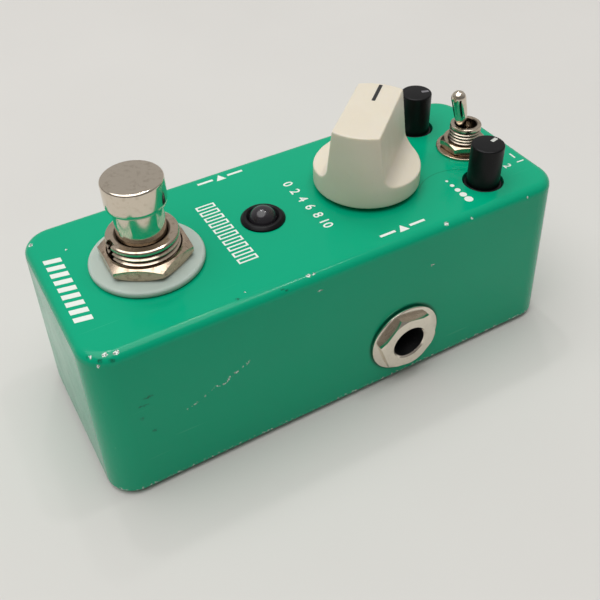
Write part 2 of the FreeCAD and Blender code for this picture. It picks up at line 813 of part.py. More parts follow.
def make_trim_knob(x, angle):
    """Slim straight knob with a wider foot that sits in the panel hole."""
    bottom = panel_z - trim_knob_drop
    top = panel_z + trim_knob_rise
    foot_top = bottom + trim_foot_height
    knob = turned([(0, bottom), (trim_foot_radius, bottom), (trim_foot_radius, foot_top),
                   (trim_knob_radius, foot_top), (trim_knob_radius, top - trim_knob_edge),
                   (trim_knob_radius - trim_knob_edge, top), (0, top)], 0, 0, 0)
    bore = rod(trim_shaft_radius + seat_gap, panel_z + trim_shaft_rise + 0.3 - bottom, point(0, 0, bottom))
    knob = knob.cut([bore, trim_pointer_bar(seat_gap, angle)])
    knob.translate(point(x, trim_y, 0))
    return knob


def make_trim_pointer(x, angle):
    pointer = trim_pointer_bar(0, angle)
    pointer.translate(point(x, trim_y, 0))
    return pointer


def make_trim_shaft(x):
    bottom = pot_top() - trim_pot_height + pot_floor + seat_gap
    top = panel_z + trim_shaft_rise
    rotor_top = bottom + pot_rotor_height
    profile = [(0, bottom), (trim_rotor_radius, bottom), (trim_rotor_radius, rotor_top),
               (trim_shaft_radius, rotor_top), (trim_shaft_radius, top), (0, top)]
    return turned(profile, x, trim_y, 0)


def make_trim_pot(x):
    bottom = pot_top() - trim_pot_height
    body = block(trim_pot_size, trim_pot_size, trim_pot_height, x, trim_y, bottom)
    well = rod(trim_rotor_radius + running_gap, trim_pot_height - pot_floor - pot_cover,
               point(x, trim_y, bottom + pot_floor))
    mouth = rod(trim_shaft_radius + running_gap, pot_cover, point(x, trim_y, pot_top() - pot_cover))
    return body.cut([well, mouth])


def pot_pin_places():
    """Three pins along the front edge of each control's body, and the body's underside."""
    places = []
    controls = [(0, drive_y, pot_size_y, pot_height), (trim_x, trim_y, trim_pot_size, trim_pot_height),
                (-trim_x, trim_y, trim_pot_size, trim_pot_height)]
    for x, y, depth, height in controls:
        for step in (-1, 0, 1):
            places.append((x + step * lead_pitch, y - depth / 2 + pot_pin_inset, pot_top() - height))
    return places


def make_pot_pins():
    return Part.makeCompound([
        block(toggle_pin_size, lead_size, top - pin_end_z, x, y, pin_end_z) for x, y, top in pot_pin_places()
    ])


# ---- toggle switch ---------------------------------------------------------
def toggle_body_top():
    return ceiling_z - toggle_inner_washer


def make_toggle_bushing():
    bottom = toggle_body_top()
    top = panel_z + toggle_bushing_rise
    thread_start = panel_z + toggle_washer_thickness + toggle_nut_height
    bevel = 0.25
    profile = [(toggle_bushing_bore, 0), (toggle_bushing_radius, 0)]
    profile += thread_profile(toggle_bushing_radius, thread_start - bottom, top - bottom - bevel,
                              toggle_pitch, toggle_thread_depth)
    profile += [(toggle_bushing_radius - bevel, top - bottom), (toggle_bushing_bore, top - bottom)]
    return turned(profile, 0, toggle_y, bottom)


def make_toggle_washer():
    return ring(toggle_washer_radius, toggle_bushing_radius + thread_gap, toggle_washer_thickness,
                point(0, toggle_y, panel_z))


def make_toggle_inner_washer():
    return ring(toggle_washer_radius - 1.0, toggle_bushing_radius + thread_gap, toggle_inner_washer,
                point(0, toggle_y, toggle_body_top()))


def make_toggle_nut():
    return hex_nut(toggle_nut_flats, toggle_nut_height, toggle_bushing_radius + thread_gap,
                   0, toggle_y, panel_z + toggle_washer_thickness, toggle_nut_angle)


def make_toggle_body():
    bottom = toggle_body_top() - toggle_body_height
    body = block(toggle_body_width, toggle_body_length, toggle_body_height, 0, toggle_y, bottom)
    body = body.makeFillet(0.4, upright_edges(body, toggle_body_height))
    swing = lever_tail_length * math.sin(math.radians(toggle_tilt)) + lever_tail_radius + 0.5
    cavity = block(2 * toggle_bushing_bore, 2 * swing, toggle_cavity_depth, 0, toggle_y,
                   toggle_body_top() - toggle_cavity_depth)
    return body.cut(cavity)


def make_toggle_lever():
    """Bat lever with its pivot ball at the origin, then tilted towards the front."""
    neck_end = toggle_bushing_rise - toggle_pivot_rise + 0.4
    tip_flat = lever_length + lever_tip_radius
    blade = turned([
        (0, -lever_tail_length), (lever_tail_radius, -lever_tail_length), (lever_tail_radius, 0),
        (lever_neck_radius, 0.1), (lever_neck_radius, neck_end),
        (lever_neck_radius + 0.3, neck_end + 1.2), (lever_body_radius, neck_end + 2.8),
        (lever_tip_radius, lever_length), (0, lever_length),
    ], 0, 0, 0)
    tip = Part.makeSphere(lever_tip_radius, point(0, 0, lever_length))
    pivot = Part.makeSphere(lever_ball_radius, point(0, 0, 0))
    lever = blade.fuse([tip, pivot]).removeSplitter()
    lever.rotate(point(0, 0, 0), ALONG_X, toggle_tilt)
    lever.translate(point(0, toggle_y, panel_z + toggle_pivot_rise))
    return lever


def toggle_pin_places():
    return [(0, toggle_y + step * toggle_pin_pitch) for step in (-1, 0, 1)]


def make_toggle_pins():
    top = toggle_body_top() - toggle_body_height
    return Part.makeCompound([
        block(toggle_pin_size, toggle_pin_size, top - pin_end_z, x, y, pin_end_z)
        for x, y in toggle_pin_places()
    ])


# ---- 6.35 mm jacks, built on the +X side -----------------------------------
def jack_outer_face():
    """Face of the jack body, just inside the leaning wall."""
    return wall_x(jack_z + jack_body_height / 2) - wall - seat_gap


def make_ferrule(y):
    """Hexagon-headed hollow screw with a flange, through the side wall into the jack body."""
    face_x = wall_x(jack_z)
    head_z = ferrule_flange_thickness
    blank = turned(hex_blank(ferrule_flats, ferrule_hex_height, ferrule_crown, False), 0, 0, head_z)
    nut = hex_prism(ferrule_flats, ferrule_hex_height, 0, 0, head_z, ferrule_angle).common(blank)
    nut = nut.cut(rod(plug_bore_radius, ferrule_hex_height, point(0, 0, head_z)))
    flange = ring(ferrule_flange_radius, plug_bore_radius, ferrule_flange_thickness, point(0, 0, 0))
    sleeve = ring(ferrule_sleeve_radius, plug_bore_radius, ferrule_sleeve_length,
                  point(0, 0, -ferrule_sleeve_length))
    ferrule = nut.fuse([flange, sleeve]).removeSplitter()
    ferrule.rotate(point(0, 0, 0), ALONG_Y, 90)
    ferrule.translate(point(face_x, y, jack_z))
    return ferrule


def contact_starts():
    """Where the sleeve contact and the tip contact leave the board, from the jack's outer face in."""
    return (contact_first, contact_second)


def make_jack_body(y):
    """Moulded body with a socket for the ferrule, a bore for the plug and two windows for contacts."""
    face_x = jack_outer_face()
    base_z = jack_z - jack_body_height / 2
    body = block(jack_body_length, jack_body_width, jack_body_height,
                 face_x - jack_body_length / 2, y, base_z)
    sleeve_end = wall_x(jack_z) - ferrule_sleeve_length - seat_gap
    socket = rod(ferrule_sleeve_radius + thread_gap, face_x - sleeve_end,
                 point(sleeve_end, y, jack_z), ALONG_X)
    bore = rod(plug_bore_radius + jack_bore_gap, jack_body_length,
               point(face_x - jack_body_length, y, jack_z), ALONG_X)
    windows = [block(contact_run, contact_window, jack_body_height / 2,
                     face_x - start + contact_run / 2 - contact_lead, y, jack_z)
               for start in contact_starts()]
    return body.cut([socket, bore] + windows)


def make_jack_contacts(y):
    """Sprung strips that hang from the board into the body's windows, beside the plug's path."""
    face_x = jack_outer_face()
    touch_z = jack_z + plug_bore_radius + contact_thickness
    strips = []
    for start in contact_starts():
        x = face_x - start
        touch_x = x + contact_slope
        route = [(x, board_bottom_z + contact_pin_depth), (x, touch_z + contact_stem_rise),
                 (touch_x, touch_z), (touch_x + contact_lip, touch_z + contact_lip_rise)]
        strips.append(bent_strip(route, contact_thickness, contact_width, y))
    return Part.makeCompound(strips)


def contact_pin_places():
    places = []
    for side, y in ((1, input_y), (-1, output_y)):
        for start in contact_starts():
            places.append((side * (jack_outer_face() - start), y))
    return places


# ---- DC inlet --------------------------------------------------------------
def dc_z():
    return board_bottom_z - dc_axis_drop


def dc_block_back():
    """Back face of the inlet's block, just inside the end wall."""
    return wall_y(board_bottom_z) - wall - seat_gap


def make_dc_body():
    """Moulded block under the board with a round nose that ends flush with the wall."""
    top_z = board_bottom_z - seat_gap
    body = block(dc_body_width, dc_body_length, dc_body_height, 0,
                 dc_block_back() - dc_body_length / 2, top_z - dc_body_height)
    face_y = wall_y(dc_z() + dc_nose_radius)
    nose_start = dc_block_back() - 1.0
    nose = rod(dc_nose_radius, face_y - nose_start, point(0, nose_start, dc_z()), ALONG_Y)
    socket = rod(dc_socket_radius, dc_socket_depth, point(0, face_y - dc_socket_depth, dc_z()), ALONG_Y)
    pin_hole = rod(dc_pin_root_radius + seat_gap, dc_body_length,
                   point(0, dc_block_back() - dc_body_length, dc_z()), ALONG_Y)
    return body.fuse(nose).removeSplitter().cut([socket, pin_hole])


def make_dc_pin():
    """Centre pin with a thicker root held in the moulding and a round tip."""
    face_y = wall_y(dc_z() + dc_nose_radius)
    root_y = dc_block_back() - dc_body_length
    floor_y = face_y - dc_socket_depth
    tip_y = face_y - dc_pin_setback - dc_pin_radius
    root = rod(dc_pin_root_radius, floor_y - root_y, point(0, root_y, dc_z()), ALONG_Y)
    shaft = rod(dc_pin_radius, tip_y - floor_y, point(0, floor_y, dc_z()), ALONG_Y)
    tip = Part.makeSphere(dc_pin_radius, point(0, tip_y, dc_z()))
    return root.fuse([shaft, tip]).removeSplitter()


# ---- main board ------------------------------------------------------------
def board_front_y():
    return switch_y + frame_width / 2 + board_switch_gap


def board_back_y():
    return wall_y(board_top_z) - wall - board_clearance


def make_main_board():
    front = board_front_y()
    back = board_back_y()
    width = 2 * (wall_x(board_top_z) - wall - board_clearance)
    board = block(width, back - front, board_thickness, 0, (front + back) / 2, board_bottom_z)
    cuts = [rod(boss_radius + board_clearance, board_thickness, point(x, y, board_bottom_z))
            for x, y in boss_places()]
    pins = [(x, y, lead_size, lead_size) for x, y in lead_places()]
    pins += [(x, y, toggle_pin_size, lead_size) for x, y, _ in pot_pin_places()]
    pins += [(x, y, toggle_pin_size, toggle_pin_size) for x, y in toggle_pin_places()]
    pins += [(x, y, contact_thickness, contact_width) for x, y in contact_pin_places()]
    for x, y, size_x, size_y in pins:
        cuts.append(block(size_x + 2 * pin_gap, size_y + 2 * pin_gap, board_thickness, x, y, board_bottom_z))
    return board.cut(cuts)


def board_rows():
    """Middles of the rows of tall parts, spread evenly from the board's front edge to the slim controls."""
    depths = [2 * can_radius, chip_length, film_width, film_width, 2 * can_radius]
    front = board_front_y()
    back = trim_y - trim_pot_size / 2
    space = (back - front - sum(depths)) / (len(depths) + 1)
    middles = []
    for depth in depths:
        middles.append(front + space + depth / 2)
        front += space + depth
    return middles


def make_op_amps():
    """Two eight-legged amplifier chips."""
    y = board_rows()[1]
    chips = []
    for side in (-1, 1):
        x = side * chip_inset
        body = block(chip_width, chip_length, chip_height, x, y, board_top_z + chip_standoff)
        leg_x = (chip_width + chip_leg_thickness) / 2
        legs = [block(chip_leg_thickness, chip_leg_width, chip_leg_height,
                      x + leg_side * leg_x, y + (i - 1.5) * lead_pitch, board_top_z)
                for leg_side in (-1, 1) for i in range(4)]
        chips.append(body.fuse(legs).removeSplitter())
    return Part.makeCompound(chips)


def make_electrolytics():
    """Can capacitors standing on the board, in the first and the last row."""
    rows = board_rows()
    cans = []
    for y in (rows[0], rows[4]):
        for side in (-1, 1):
            can = rod(can_radius, can_height, point(side * can_inset, y, board_top_z))
            cans.append(can.makeFillet(can_edge, edges_at(can, board_top_z + can_height)))
    return Part.makeCompound(cans)


def make_film_capacitors():
    return Part.makeCompound([
        block(film_length, film_width, film_height, side * film_inset, y, board_top_z)
        for side in (-1, 1) for y in board_rows()[2:4]
    ])


def make_resistors():
    """Two rows of surface-mounted resistors beside the lamp's leads, behind the board's front edge."""
    first_y = board_front_y() + resistor_pitch
    return Part.makeCompound([
        block(resistor_length, resistor_width, resistor_height,
              side * resistor_inset, first_y + i * resistor_pitch, board_top_z)
        for side in (-1, 1) for i in range(resistor_count)
    ])


def all_parts():
    return {
        "shell": make_shell(),
        "base_plate": make_base_plate(),
        "base_pad": make_base_pad(),
        "base_screws": make_base_screws(),
        "footswitch_bushing": make_footswitch_bushing(),
        "footswitch_washer": make_footswitch_washer(),
        "footswitch_nut": make_footswitch_nut(),
        "footswitch_lock_washer": make_footswitch_lock_washer(),
        "footswitch_lower_nut": make_footswitch_lower_nut(),
        "footswitch_frame": make_footswitch_frame(),
        "footswitch_body": make_footswitch_body(),
        "footswitch_plunger": make_footswitch_plunger(),
        "footswitch_spring": make_footswitch_spring(),
        "footswitch_lugs": make_footswitch_lugs(),
        "switch_board": make_switch_board(),
        "ribbon_cable": make_ribbon_cable(),
        "lamp_bezel": make_lamp_bezel(),
        "lamp_ring": make_lamp_ring(),
        "lamp": make_lamp(),
        "lamp_leads": make_lamp_leads(),
        "drive_knob": make_drive_knob(),
        "drive_pointer": make_drive_pointer(),
        "drive_shaft": make_drive_shaft(),
        "drive_pot": make_drive_pot(),
        "drive_bushing": make_drive_bushing(),
        "drive_washer": make_drive_washer(),
        "drive_nut": make_drive_nut(),
        "tone_knob": make_trim_knob(trim_x, tone_angle),
        "tone_pointer": make_trim_pointer(trim_x, tone_angle),
        "tone_shaft": make_trim_shaft(trim_x),
        "tone_pot": make_trim_pot(trim_x),
        "volume_knob": make_trim_knob(-trim_x, volume_angle),
        "volume_pointer": make_trim_pointer(-trim_x, volume_angle),
        "volume_shaft": make_trim_shaft(-trim_x),
        "volume_pot": make_trim_pot(-trim_x),
        "pot_pins": make_pot_pins(),
        "toggle_bushing": make_toggle_bushing(),
        "toggle_washer": make_toggle_washer(),
        "toggle_inner_washer": make_toggle_inner_washer(),
        "toggle_nut": make_toggle_nut(),
        "toggle_body": make_toggle_body(),
        "toggle_lever": make_toggle_lever(),
        "toggle_pins": make_toggle_pins(),
        "input_ferrule": make_ferrule(input_y),
        "input_jack": make_jack_body(input_y),
        "input_contacts": make_jack_contacts(input_y),
        "output_ferrule": mirrored_x(make_ferrule(output_y)),
        "output_jack": mirrored_x(make_jack_body(output_y)),
        "output_contacts": mirrored_x(make_jack_contacts(output_y)),
        "dc_inlet": make_dc_body(),
        "dc_pin": make_dc_pin(),
        "main_board": make_main_board(),
        "op_amps": make_op_amps(),
        "electrolytic_capacitors": make_electrolytics(),
        "film_capacitors": make_film_capacitors(),
        "resistors": make_resistors(),
    }


os.makedirs("parts", exist_ok=True)
for name, shape in all_parts().items():
    if not shape.isValid():
        print("invalid:", name)
    print(name, len(shape.Solids), "solids", round(shape.Volume, 2), "mm3")
    shape.exportStep("parts/" + name + ".step")
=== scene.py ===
import bmesh
import bpy
import math
from mathutils import Matrix, Vector


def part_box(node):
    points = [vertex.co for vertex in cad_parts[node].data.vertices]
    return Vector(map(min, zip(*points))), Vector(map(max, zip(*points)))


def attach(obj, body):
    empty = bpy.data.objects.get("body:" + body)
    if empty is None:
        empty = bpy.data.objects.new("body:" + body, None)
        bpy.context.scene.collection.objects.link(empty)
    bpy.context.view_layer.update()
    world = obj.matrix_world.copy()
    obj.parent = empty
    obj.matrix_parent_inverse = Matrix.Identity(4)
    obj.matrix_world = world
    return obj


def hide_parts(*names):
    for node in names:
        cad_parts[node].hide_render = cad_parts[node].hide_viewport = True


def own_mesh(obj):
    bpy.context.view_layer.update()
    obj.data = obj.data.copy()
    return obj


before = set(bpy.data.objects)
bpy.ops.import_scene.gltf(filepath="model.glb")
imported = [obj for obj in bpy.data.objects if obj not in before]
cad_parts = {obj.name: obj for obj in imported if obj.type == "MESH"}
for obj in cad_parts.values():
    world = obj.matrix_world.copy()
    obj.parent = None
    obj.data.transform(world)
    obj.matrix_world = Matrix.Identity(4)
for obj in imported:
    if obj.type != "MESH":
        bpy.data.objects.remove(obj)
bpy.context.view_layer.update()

scene = bpy.context.scene
mm = 0.001
print("pedal frame loaded:", len(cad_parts), "CAD nodes")


def inMm(node):  # lowest corner, highest corner and middle of a CAD node, in millimetres
    lowest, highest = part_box(node)
    return lowest / mm, highest / mm, (lowest + highest) / 2 / mm


def perMm(size):  # scale of a pattern whose features are this many millimetres across
    return 1 / (size * mm)


panelTop = inMm("footswitch_washer")[0].z

cameraSetup = {
    "lens": 48.48, "sensor": 36.0, "nearest": 5.0,  # millimetres, as is its place
    "place": (103.2326, -55.1805, 118.6392),
    "right": (0.49247, 0.86992, -0.02677),
    "upward": (-0.58293, 0.35253, 0.73207),
    "backward": (0.64627, -0.34492, 0.68071),
}
cameraData = bpy.data.cameras.new("camera")
cameraData.lens = cameraSetup["lens"]
cameraData.sensor_width = cameraSetup["sensor"]
cameraData.clip_start = cameraSetup["nearest"] * mm
camera = bpy.data.objects.new("camera", cameraData)
scene.collection.objects.link(camera)
axes = Matrix([Vector(cameraSetup[key]) for key in ("right", "upward", "backward")]).transposed()
camera.matrix_world = Matrix.Translation(Vector(cameraSetup["place"]) * mm) @ axes.to_4x4()
scene.camera = camera
scene.view_settings.view_transform = "Standard"
print("camera placed")


def toLinear(text):  # "#RRGGBB" to the linear colour that the shaders take
    channels = [int(text[i:i + 2], 16) / 255 for i in (1, 3, 5)]
    return [c / 12.92 if c <= 0.04045 else ((c + 0.055) / 1.055) ** 2.4 for c in channels] + [1.0]


def addNode(tree, kind, inputs={}, **settings):
    # a shader node with its settings and links; an input takes a value, a "#RRGGBB" text, a socket, or a node
    # whose first live output is meant
    node = tree.nodes.new("ShaderNode" + kind)
    for key, value in settings.items():
        setattr(node, key, value)
    for key, value in inputs.items():
        if isinstance(value, bpy.types.Node):
            value = next(output for output in value.outputs if output.enabled)
        if isinstance(value, bpy.types.NodeSocket):
            tree.links.new(value, node.inputs[key])
        else:
            node.inputs[key].default_value = toLinear(value) if isinstance(value, str) else value
    return node


eased = {"interpolation_type": "SMOOTHSTEP"}


def startMaterial(name):  # empty material and the object coordinates that its patterns read
    material = bpy.data.materials.new(name)
    material.use_nodes = True
    tree = material.node_tree
    tree.nodes.clear()
    return material, tree, addNode(tree, "TexCoord").outputs["Object"]


studio = {  # metres and watts, but floorCloud in millimetres
    "floorColors": ("#CDCBC7", "#D3D1CD"), "floorSize": 4.0, "floorCloud": 60,
    "skyColor": "#FFFDFA", "skyDim": 0.19, "skyBright": 0.46, "skyTurn": (-0.2, 0.75),
    "skyBrightSide": (-0.646, 0.345, 0.681), "aim": (0, 0, 0.02),
    "softBoxPower": 13.3, "softBoxSize": 1.5, "softBoxPlace": (0.0, -0.25, 1.2),
    "bulbSize": 0.07,
    "bulbs": [((-0.52, 0.26, 1.15), 0.6), ((0.01, 0.45, 1.25), 0.8), ((-0.50, 0.02, 1.2), 0.9)],
}
bm = bmesh.new()
bmesh.ops.create_grid(bm, x_segments=8, y_segments=8, size=studio["floorSize"])
floorMesh = bpy.data.meshes.new("floor")
bm.to_mesh(floorMesh)
bm.free()
floor = bpy.data.objects.new("floor", floorMesh)
scene.collection.objects.link(floor)
# matte painted board: even, very faintly clouded, without gloss
floorPaint, tree, place = startMaterial("matte painted board")
cloud = addNode(tree, "TexNoise", {"Vector": place, "Scale": perMm(studio["floorCloud"]), "Detail": 3.0})
paint = addNode(tree, "Mix", {"Factor": cloud, 6: studio["floorColors"][0], 7: studio["floorColors"][1]},
                data_type="RGBA")
board = addNode(tree, "BsdfPrincipled", {"Base Color": paint, "Roughness": 0.85, "Specular IOR Level": 0.2})
addNode(tree, "OutputMaterial", {"Surface": board})
floorMesh.materials.append(floorPaint)

# the room is lighter behind the pedal than behind the viewer, which gives the plated parts their contrast
world = bpy.data.worlds.new("studio")
scene.world = world
world.use_nodes = True
tree = world.node_tree
tree.nodes.clear()
facing = addNode(tree, "VectorMath", {0: addNode(tree, "TexCoord"), 1: studio["skyBrightSide"]},
                 operation="DOT_PRODUCT").outputs["Value"]
brightness = addNode(tree, "MapRange", {0: facing, 1: studio["skyTurn"][0], 2: studio["skyTurn"][1],
                     3: studio["skyDim"], 4: studio["skyBright"]}, **eased)
sky = addNode(tree, "Background", {"Color": studio["skyColor"], "Strength": brightness})
addNode(tree, "OutputWorld", {"Surface": sky})


def areaLamp(name, power, size, position):
    data = bpy.data.lights.new(name, "AREA")
    data.energy = power
    data.shape = "DISK"
    data.size = size
    lamp = bpy.data.objects.new(name, data)
    lamp.location = position
    lamp.rotation_euler = (Vector(studio["aim"]) - Vector(position)).to_track_quat("-Z", "Y").to_euler()
    scene.collection.objects.link(lamp)


areaLamp("softBox", studio["softBoxPower"], studio["softBoxSize"], studio["softBoxPlace"])
for position, power in studio["bulbs"]:
    areaLamp("bulb", power, studio["bulbSize"], position)
print("studio ready")

# wear of the sprayed box, and painted shade with some grime round the ferrule flanges: middle and half-sizes of
# each mark, in millimetres
wearAndShade = {
    "chips": [  # bare die-cast metal
        (16.9, -42.0, 32.55, 0.42, 0.50, 0.4), (17.3, -40.4, 32.52, 0.36, 0.60, 0.4),
        (17.35, -43.45, 31.2, 0.3, 0.32, 0.42), (15.98, -43.95, 32.34, 0.34, 0.26, 0.3),
        (-14.3, -44.3, 32.6, 0.55, 0.42, 0.4), (-9.82, -39.45, 32.7, 0.26, 0.18, 0.3),
        (17.2, -7.55, 32.56, 0.40, 0.46, 0.4), (17.27, -6.55, 32.54, 0.24, 0.34, 0.3),
        (18.35, -6.1, 29.5, 0.3, 0.60, 0.16), (17.6, 19.85, 32.32, 0.40, 0.50, 0.4),
        (18.05, 25.0, 31.85, 0.26, 0.22, 0.5), (18.5, 17.0, 24.95, 0.3, 0.42, 0.16),
        (18.2, 37.6, 31.5, 0.26, 0.24, 0.26), (15.62, -18.2, 32.7, 0.14, 0.16, 0.3),
        (-18.1, 12.0, 31.6, 0.3, 0.42, 0.3), (-17.9, -20.3, 31.8, 0.26, 0.3, 0.3),
        (6.0, 45.6, 31.7, 0.34, 0.3, 0.3), (-12.5, 45.2, 31.9, 0.28, 0.3, 0.3),
        (-18.9, 22.0, 1.8, 0.4, 0.6, 0.3), (-15.5, -45.0, 2.4, 0.5, 0.4, 0.4),
    ],
    "dents": [  # dark, grimy places where the film is through but the metal has dulled
        (17.25, -42.9, 32.0, 0.42, 0.62, 0.42), (17.95, -41.3, 31.8, 0.40, 0.60, 0.44),
        (15.6, -44.4, 32.2, 0.36, 0.30, 0.3), (17.65, -12.6, 32.3, 0.30, 0.46, 0.26),
        (17.95, -12.0, 31.95, 0.30, 0.40, 0.28), (17.8, -8.65, 32.15, 0.26, 0.38, 0.22),
        (18.59, -37.6, 22.0, 0.6, 1.15, 0.34), (18.63, -38.7, 20.5, 0.6, 1.3, 0.26),
        (18.72, -39.3, 17.9, 0.6, 0.42, 0.55), (18.8, -37.8, 14.1, 0.6, 0.5, 0.4),
        (3.2, -46.3, 20.0, 0.5, 0.5, 0.4), (16.36, -19.9, 32.7, 0.36, 0.42, 0.3),
    ],
    "edgeGrain": 0.34, "edgeWander": 0.7,  # size and reach of the raggedness of both
    "scratch": {"from": (18.8, -31.9, 15.5), "to": (18.63, -19.8, 20.9), "width": 0.24, "grain": 0.7,
                "bend": 4.0, "bendReach": 3.0},
    # radii of the painted shade, with some grime, round each ferrule's flange
    "flangeShadeAndGrime": (7.3, 7.85),  # radii
    "ringMark": {"centre": (12.58, 27.27), "radius": 7.94, "width": 0.16, "before": 7.6},
}


def distance(tree, place, centre, axes):  # from a centre in millimetres, with the axes weighted
    start = [-at * mm * axis for at, axis in zip(centre, axes)]
    local = addNode(tree, "VectorMath", {0: place, 1: axes, 2: start}, operation="MULTIPLY_ADD")
    return addNode(tree, "VectorMath", {0: local}, operation="LENGTH").outputs["Value"]


def spotMask(tree, place, spots, soft):  # 1 inside any of the spots, with a ragged edge
    ragged = addNode(tree, "TexNoise", {"Vector": place, "Scale": perMm(wearAndShade["edgeGrain"]), "Detail": 2.0})
    shift = addNode(tree, "VectorMath", {0: ragged.outputs["Color"], 1: (0.5,) * 3}, operation="SUBTRACT")
    wobbled = addNode(tree, "VectorMath", {0: shift, 1: (wearAndShade["edgeWander"] * mm,) * 3, 2: place},
                      operation="MULTIPLY_ADD")
    nearest = 9.0  # in half-sizes, so farther than any spot reaches
    for spot in spots:
        away = distance(tree, wobbled, spot[:3], [perMm(size) for size in spot[3:]])
        nearest = addNode(tree, "Math", {0: away, 1: nearest}, operation="MINIMUM")
    return addNode(tree, "MapRange", {0: nearest, 1: 1.0, 2: 1.0 - soft}, **eased)


film = {  # sizes in millimetres
    "greens": ("#009C74", "#00A47A"), "cloud": 22, "hairline": "#5CC7A0", "smear": 9, "gloss": (0.13, 0.20),
    "specular": 0.22, "peel": 1.1, "peelDepth": 0.012, "chipDepth": 4.0,  # the last in peel depths
    "grit": 0.55, "rubbedFoot": (1.9, 1.3), "ringColor": "#00734F", "flangeShadeColor": "#06402D",
    "dentColor": "#174A37", "bareColors": ("#EEF3EC", "#6F8277"), "bareFleck": 0.25, "bareRoughness": 0.42,
}


def makeEnamel(name, wornAndShaded):
    material, tree, place = startMaterial(name)
    height = addNode(tree, "SeparateXYZ", {0: place}).outputs["Z"]
    # large clouds, as a hand-sprayed film has
    cloud = addNode(tree, "TexNoise", {"Vector": place, "Scale": perMm(film["cloud"]), "Detail": 2.0})
    green = addNode(tree, "Mix", {"Factor": cloud, 6: film["greens"][0], 7: film["greens"][1]},
                    data_type="RGBA")
    # hairline scratches, drawn wider than life so that they show
    hairSpace = addNode(tree, "Mapping", {"Vector": place, "Rotation": (0.1, 0.0, 0.62),
                        "Scale": (2600, 60, 900)})
    hair = addNode(tree, "TexNoise", {"Vector": hairSpace, "Scale": 1.0, "Detail": 1.0})
    hairMask = addNode(tree, "MapRange", {0: hair, 1: 0.74, 2: 0.80, 4: 0.12})
    green = addNode(tree, "Mix", {"Factor": hairMask, 6: green, 7: film["hairline"]}, data_type="RGBA")
    # the rim at the foot is rubbed through in flakes
    grit = addNode(tree, "TexNoise", {"Vector": place, "Scale": perMm(film["grit"]), "Detail": 2.0})
    flakes = addNode(tree, "MapRange", {0: grit, 1: 0.55, 2: 0.62})
    clear, rubbed = film["rubbedFoot"]
    rim = addNode(tree, "MapRange", {0: height, 1: clear * mm, 2: rubbed * mm}, **eased)
    bare = addNode(tree, "Math", {0: rim, 1: flakes}, operation="MULTIPLY")
    if wornAndShaded:
        chips = spotMask(tree, place, wornAndShaded["chips"], 0.3)
        bare = addNode(tree, "Math", {0: bare, 1: chips}, operation="MAXIMUM")
        # a dotted scratch where something hard was dragged along the side
        mark = wornAndShaded["scratch"]
        start, end = Vector(mark["from"]) * mm, Vector(mark["to"]) * mm
        length, along = (end - start).length, (end - start).normalized()
        across = Vector((1, 0, 0)).cross(end - start).normalized()
        away = addNode(tree, "VectorMath", {0: place, 1: start}, operation="SUBTRACT")
        run, side = [addNode(tree, "VectorMath", {0: away, 1: way}, operation="DOT_PRODUCT").outputs["Value"]
                     for way in (along, across)]
        bend = addNode(tree, "TexNoise", {"Vector": place, "Scale": perMm(mark["bend"]), "Detail": 1.0})
        side = addNode(tree, "Math", {0: bend, 1: mark["bendReach"] * mm, 2: side}, operation="MULTIPLY_ADD")
        side = addNode(tree, "Math", {0: side, 1: mark["bendReach"] / 2 * mm}, operation="SUBTRACT")
        near = addNode(tree, "Math", {0: side}, operation="ABSOLUTE")
        line = addNode(tree, "MapRange", {0: near, 1: mark["width"] * mm, 2: 0.0})
        reach = addNode(tree, "MapRange", {0: run, 1: 0.0, 2: 0.2 * mm})
        stop = addNode(tree, "MapRange", {0: run, 1: length, 2: length - 0.5 * mm})
        dots = addNode(tree, "TexNoise", {"Vector": place, "Scale": perMm(mark["grain"]), "Detail": 1.0})
        dotted = addNode(tree, "MapRange", {0: dots, 1: 0.52, 2: 0.60})
        outward = addNode(tree, "SeparateXYZ", {0: place}).outputs["X"]
        onWall = addNode(tree, "MapRange", {0: outward, 1: 17 * mm, 2: 18 * mm})
        for mask in (reach, stop, dotted, onWall):
            line = addNode(tree, "Math", {0: line, 1: mask}, operation="MULTIPLY")
        bare = addNode(tree, "Math", {0: bare, 1: line}, operation="MAXIMUM")
        # a fine dark ring segment beside the tone control
        ring = wornAndShaded["ringMark"]
        away = distance(tree, place, (*ring["centre"], 0), (1, 1, 0))
        off = addNode(tree, "Math", {0: away, 1: ring["radius"] * mm}, operation="SUBTRACT")
        off = addNode(tree, "Math", {0: off}, operation="ABSOLUTE")
        darkArc = addNode(tree, "MapRange", {0: off, 1: ring["width"] * mm, 2: 0.0, 4: 0.7})
        for value, low, high in ((outward, ring["before"], ring["before"] - 1.5), (height, 32.0, 32.5)):
            limit = addNode(tree, "MapRange", {0: value, 1: low * mm, 2: high * mm})
            darkArc = addNode(tree, "Math", {0: darkArc, 1: limit}, operation="MULTIPLY")
        green = addNode(tree, "Mix", {"Factor": darkArc, 6: green, 7: film["ringColor"]}, data_type="RGBA")
        # painted shade with some grime: a dark ring in the gap round each ferrule's flange, where the gap's
        # shadow falls
        inner, outer = wornAndShaded["flangeShadeAndGrime"]
        for node, side in (("input_ferrule", 1), ("output_ferrule", -1)):
            away = distance(tree, place, inMm(node)[2], (0, 1, 1))
            gapShade = addNode(tree, "MapRange", {0: away, 1: outer * mm, 2: inner * mm, 4: 0.8})
            onSide = addNode(tree, "MapRange", {0: outward, 1: side * 16.5 * mm, 2: side * 17.5 * mm})
            gapShade = addNode(tree, "Math", {0: gapShade, 1: onSide}, operation="MULTIPLY")
            green = addNode(tree, "Mix", {"Factor": gapShade, 6: green, 7: film["flangeShadeColor"]}, data_type="RGBA")
        patchy = addNode(tree, "MapRange", {0: grit, 1: 0.34, 2: 0.60, 4: 0.75})
        dirt = addNode(tree, "Math", {0: spotMask(tree, place, wornAndShaded["dents"], 0.55), 1: patchy},
                       operation="MULTIPLY")
        green = addNode(tree, "Mix", {"Factor": dirt, 6: green, 7: film["dentColor"]}, data_type="RGBA")
